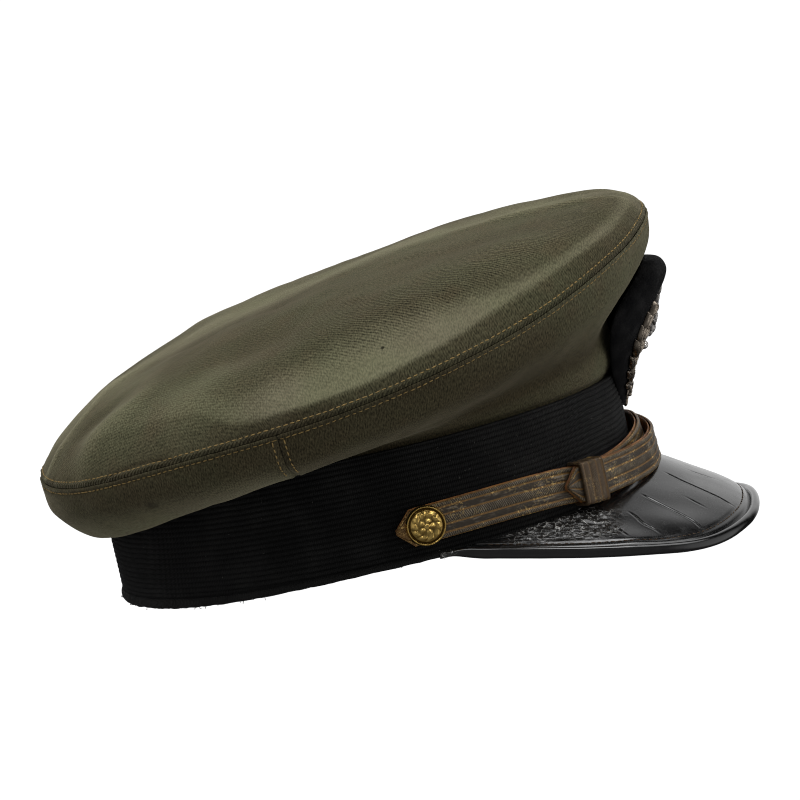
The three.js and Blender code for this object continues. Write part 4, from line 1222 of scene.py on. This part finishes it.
def badge_spray():
    """Two sprays of leaves that rise from a knot at the foot of the mount, with berries between."""
    rng = np.random.default_rng(7)
    leaves, berries = [], []
    half, high = WREATH["half_width"], WREATH["half_height"]
    for side in (1, -1):
        for k in range(WREATH["leaves"]):
            angle = math.radians(mix(WREATH["from"], WREATH["to"], k / (WREATH["leaves"] - 1)))
            across = side * half * math.cos(angle)
            rise = WREATH["centre"] + high * math.sin(angle)
            heading = math.atan2(high * math.cos(angle), -side * half * math.sin(angle))
            for turn, shift, lift in ((0, 0, 0.5), (0.55, 1.9, 0.3), (-0.55, -1.9, 0.3)):
                long = LEAF["length"] * rng.uniform(0.75, 1)
                thick = LEAF["height"] * rng.uniform(1.6, 3.2) * mix(0.4, 1, smooth(k / 3))
                size = (long, LEAF["width"] * 0.85, thick)
                leaves.append(mount_frame(across + shift, rise, lift, heading + side * turn, size))
            berries.append(mount_frame(across * 0.8, rise - 1.2, 0.9, 0, (0.9, 0.9, 1.1)))
    knot = [mount_frame(0, WREATH["centre"] - high + d, 0.6, t, (4.4, 1.5, 1.5))
            for d, t in ((0, 0.0), (1.6, 0.5), (1.6, -0.5))]
    knot += [mount_frame(0, rise, 0.3, math.pi / 2, (1.5, 0.9, 0.8)) for rise in (4, 2.3, 0.8)]
    points, faces = ball(14, 8)
    shapes = [(*leaf_shape(), leaves), (points, faces, 0 * points[:, 0], berries + knot)]
    return metal_copies("badge_spray", "gilt", shapes, AGED_GILT)


def badge_rosette():
    """A silver rosette of leaves round a boss, with a crest of lobes above it and a large bead below."""
    petals, beads = [], []
    centre, radius = ROSETTE["centre"], ROSETTE["radius"]
    for ring, reach, length, lift in ((0, 0.6, 0.46, 0.6), (1, 0.38, 0.34, 1.9)):
        for k in range(ROSETTE["petals"]):
            turn = 2 * math.pi * (k + 0.5 * ring) / ROSETTE["petals"]
            spot = (reach * radius * math.cos(turn), centre + reach * radius * math.sin(turn))
            petals.append(mount_frame(*spot, lift, turn, (length * radius, 0.24 * radius, 2.3)))
    for rise, wide, high in ((40.5, 4.2, 2.6), (45.2, 2.6, 1.9), (48.6, 1.9, 1.6)):
        petals += [mount_frame(0.8 * wide * aside, rise - 0.8 * abs(aside), 0.5, math.pi / 2 - 0.5 * aside,
                               (wide, wide * 0.6, high)) for aside in (-1, 0, 1)]
    beads.append(mount_frame(0, centre - 2, 2.6, 0, (2.6, 2.6, 2)))
    beads += [mount_frame(x, 23, 2, 0, [size] * 3) for x, size in ((-3.4, 1.3), (0, 1.9), (3.4, 1.3))]
    points, faces = ball(16, 10)
    shapes = [(*leaf_shape(), petals), (points, faces, 0 * points[:, 0], beads)]
    return metal_copies("badge_rosette", "silver", shapes)


# Fluff and frayed threads
def fibres(name, spots, ups, length, radius, seed, material, slot):
    """Short bent threads that stand on a surface."""
    rng = np.random.default_rng(seed)
    steps, sides = 6, 4
    points, faces = [], []
    index = loop_faces(steps, sides)
    turn = turns(sides)
    for spot, up in zip(spots, ups):
        flat = unit(np.cross(up, rng.normal(size=3)))
        curl = unit(np.cross(up, flat)) * rng.uniform(-1, 1)
        t = np.linspace(0, 1, steps)[:, None]
        long = length * rng.uniform(0.4, 1.3)
        line = spot + long * (t * flat + 0.6 * t * t * curl + 0.35 * np.sin(np.pi * t) * up + 0.02 * up)
        line[:, 2] = np.maximum(line[:, 2], floor_height(line[:, 0]) + radius)
        across = unit(np.cross(flat, up))
        ring = radius * (np.cos(turn)[:, None] * across + np.sin(turn)[:, None] * up)
        faces.append(index + len(points) * steps * sides)
        points.append((line[:, None] + ring[None] * (1 - 0.6 * t[..., None])).reshape(-1, 3))
    made = mesh_object(name, np.concatenate(points), np.concatenate(faces))
    return finished(made, slot, material=material)


def fluff(top):
    rng = np.random.default_rng(8)
    angle = np.concatenate([rng.uniform(-75, -15, 70), rng.uniform(15, 75, 50), rng.uniform(75, 285, 30)])
    z = np.concatenate([rng.uniform(26, 47, 120), rng.uniform(8, 40, 30)])
    fibres("band_fluff", place(angle, 0.3, z), outward(angle), 0.8, 0.05, 9, PALE_FLUFF, "ribbed_band")
    angle = np.append(rng.uniform(80, 280, 70), (-83.5, -86.5, -88))
    z = around(LOWER_EDGE, "z", angle) + rng.uniform(0, 0.5, len(angle)) * around(LOWER_EDGE, "edge", angle)
    up = outward(angle) - [0, 0, 0.6]
    fibres("welt_fray", place(angle, 1.0, z), up, 1.2, 0.17, 10, BLACK_FLUFF, "ribbed_band")
    angle, z = rng.uniform(-78.6, -75.4, 8), rng.uniform(3.2, 6.5, 8)
    fibres("corner_fluff", place(angle, 1.5, z), outward(angle), 0.9, 0.06, 11, PALE_FLUFF, "ribbed_band")
    outer, face, _ = top
    at = rng.integers(12, 80, 26), rng.integers(0, outer.shape[1], 26)
    fibres("crown_fluff", outer[at], face[at], 1.1, 0.05, 12, PALE_FLUFF, "olive_cloth")


# Stage
CAMERA = {"tilt": 12.4, "elevation": 8.5, "distance": 1400, "target": (18.7, 0, 52.9),
          "lens": 160, "sensor": 36}
FLOOR = {"half": 60, "drop": 0.0002, "light": 1.1}
KEY = {"strength": 1.8, "soft": 50, "direction": (0.34, 0.2, -1)}

# Light from around: bright above, behind and at the sides, dark towards the camera. Each row is a direction,
# the cosines where its light starts and is full, and its strength. GLOSS is what polished surfaces show.
SKY = (
    ((0, 0, 1), 0.58, 0.95, 0.5), ((1, -0.1, 0), 0.1, 1, 1.15), ((-1, 0, 0), 0.1, 1, 0.42),
    ((0.1, 1, 0.3), 0.5, 1, 0.6),
    ((0, -1, 0), -0.3, 1, 0.1), ((0, 0, -1), -0.3, 1, 0.17),
)
GLOSS = (
    ((0.1, 0.92, 0.37), 0.7, 0.92, 0.77), ((0.98, 0, -0.15), 0.75, 0.97, 0.6),
    ((0.7, -0.1, 0.7), 0.93, 0.985, 2.5), ((-0.95, 0, 0.25), 0.5, 1, 0.4),
    ((-0.36, -0.1, 0.93), 0.965, 0.99, 3.2), ((0, -0.12, 0.99), 0.965, 0.99, 4.6),
    ((0.38, -0.1, 0.92), 0.965, 0.99, 5.4),
    ((0, -1, 0), -0.1, 0.8, 0.16), ((0, 0, -1), 0, 1, 0.06),
)


def stage():
    floor = bpy.data.objects.new("floor", bpy.data.meshes.new("floor"))
    half = FLOOR["half"]
    square = [(-half, -half, 0), (half, -half, 0), (half, half, 0), (-half, half, 0)]
    floor.data.from_pydata(square, [], [(0, 1, 2, 3)])
    bpy.context.scene.collection.objects.link(floor)
    floor.location.z = -FLOOR["drop"]
    floor.visible_diffuse = False
    floor.visible_glossy = False
    s = Shader("pale_floor", base_color=(0, 0, 0, 1), specular_ior_level=0.0, emission_color=(1, 1, 1, 1),
               emission_strength=FLOOR["light"])
    floor.data.materials.append(s.material)

    world = bpy.data.worlds.new("studio")
    world.use_nodes = True
    bpy.context.scene.world = world
    sky = Nodes(world.node_tree)
    where = sky.add("ShaderNodeTexCoord", output="Generated")

    def light_from(rows):
        total = 0.0
        for direction, low, high, light in rows:
            toward = sky.add("ShaderNodeVectorMath", [where, direction], output="Value",
                             operation="DOT_PRODUCT")
            total = sky.plus(total, sky.ramp(toward, low, high, light))
        return total

    glossy = sky.add("ShaderNodeLightPath", output="Is Glossy Ray")
    both = sky.add("ShaderNodeMix", [glossy, None, light_from(SKY), light_from(GLOSS)])
    surround = sky.tree.nodes["Background"]
    sky.set(surround.inputs["Strength"], both)
    sky.set(surround.inputs["Color"], (1, 1, 1, 1))

    light = bpy.data.lights.new("key", "SUN")
    light.energy, light.angle = KEY["strength"], math.radians(KEY["soft"])
    lamp = bpy.data.objects.new("key", light)
    lamp.rotation_euler = Vector(KEY["direction"]).to_track_quat("-Z", "Y").to_euler()
    bpy.context.scene.collection.objects.link(lamp)


def camera():
    tilt, rise = math.radians(CAMERA["tilt"]), math.radians(CAMERA["elevation"])
    look = np.array([0, math.cos(rise), -math.sin(rise)])
    level = np.cross((1, 0, 0), look)
    right = math.cos(tilt) * np.array([1, 0, 0]) - math.sin(tilt) * level
    up = math.sin(tilt) * np.array([1, 0, 0]) + math.cos(tilt) * level
    eye = np.array(CAMERA["target"]) - look * CAMERA["distance"]
    origin = to_row(np.zeros(3))
    axes = [unit(to_row(v) - origin) for v in (right, up, -look)]
    data = bpy.data.cameras.new("camera")
    data.sensor_width, data.lens = CAMERA["sensor"], CAMERA["lens"]
    data.clip_start, data.clip_end = 0.05, 200
    made = bpy.data.objects.new("camera", data)
    turn = Matrix([list(row) for row in np.stack(axes, 1)]).to_4x4()
    made.matrix_world = Matrix.Translation(to_row(eye)) @ turn
    bpy.context.scene.collection.objects.link(made)
    bpy.context.scene.camera = made


top, top_lines = crown_top()
front, front_lines = crown_side("crown_side_front", -SIDE_SEAM["angle"], SIDE_SEAM["angle"], 260)
rear, rear_lines = crown_side("crown_side_rear", SIDE_SEAM["angle"], 360 - SIDE_SEAM["angle"], 180)
crown_stitches(top_lines, (front_lines, rear_lines))
ribbed = band()
welt = band_welt()
peak, peak_lines = visor()
visor_stitches(*peak_lines)
visor_binding()
lace_start = STRAP["leather"] + GAP
for side_name, route, long in (("right", RIGHT_ROUTE, 0.224), ("left", LEFT_ROUTE, 0.232)):
    leather = strap_piece("strap_" + side_name, route, 0, STRAP["leather"], 0, False, "strap_leather")
    lace = strap_piece("lace_" + side_name, route, lace_start, STRAP["lace"], STRAP["lace_inset"], True,
                       "gold_lace")
for side_name, side in (("right", -1), ("left", 1)):
    slide("slide_" + side_name, side)
    button("button_" + side_name, side)
pad = badge_mount()
badge_spray()
badge_rosette()
fluff(top_lines)
stage()
camera()
bpy.context.scene.view_settings.view_transform = "Standard"
bpy.context.scene.cycles.filter_width = 1.1
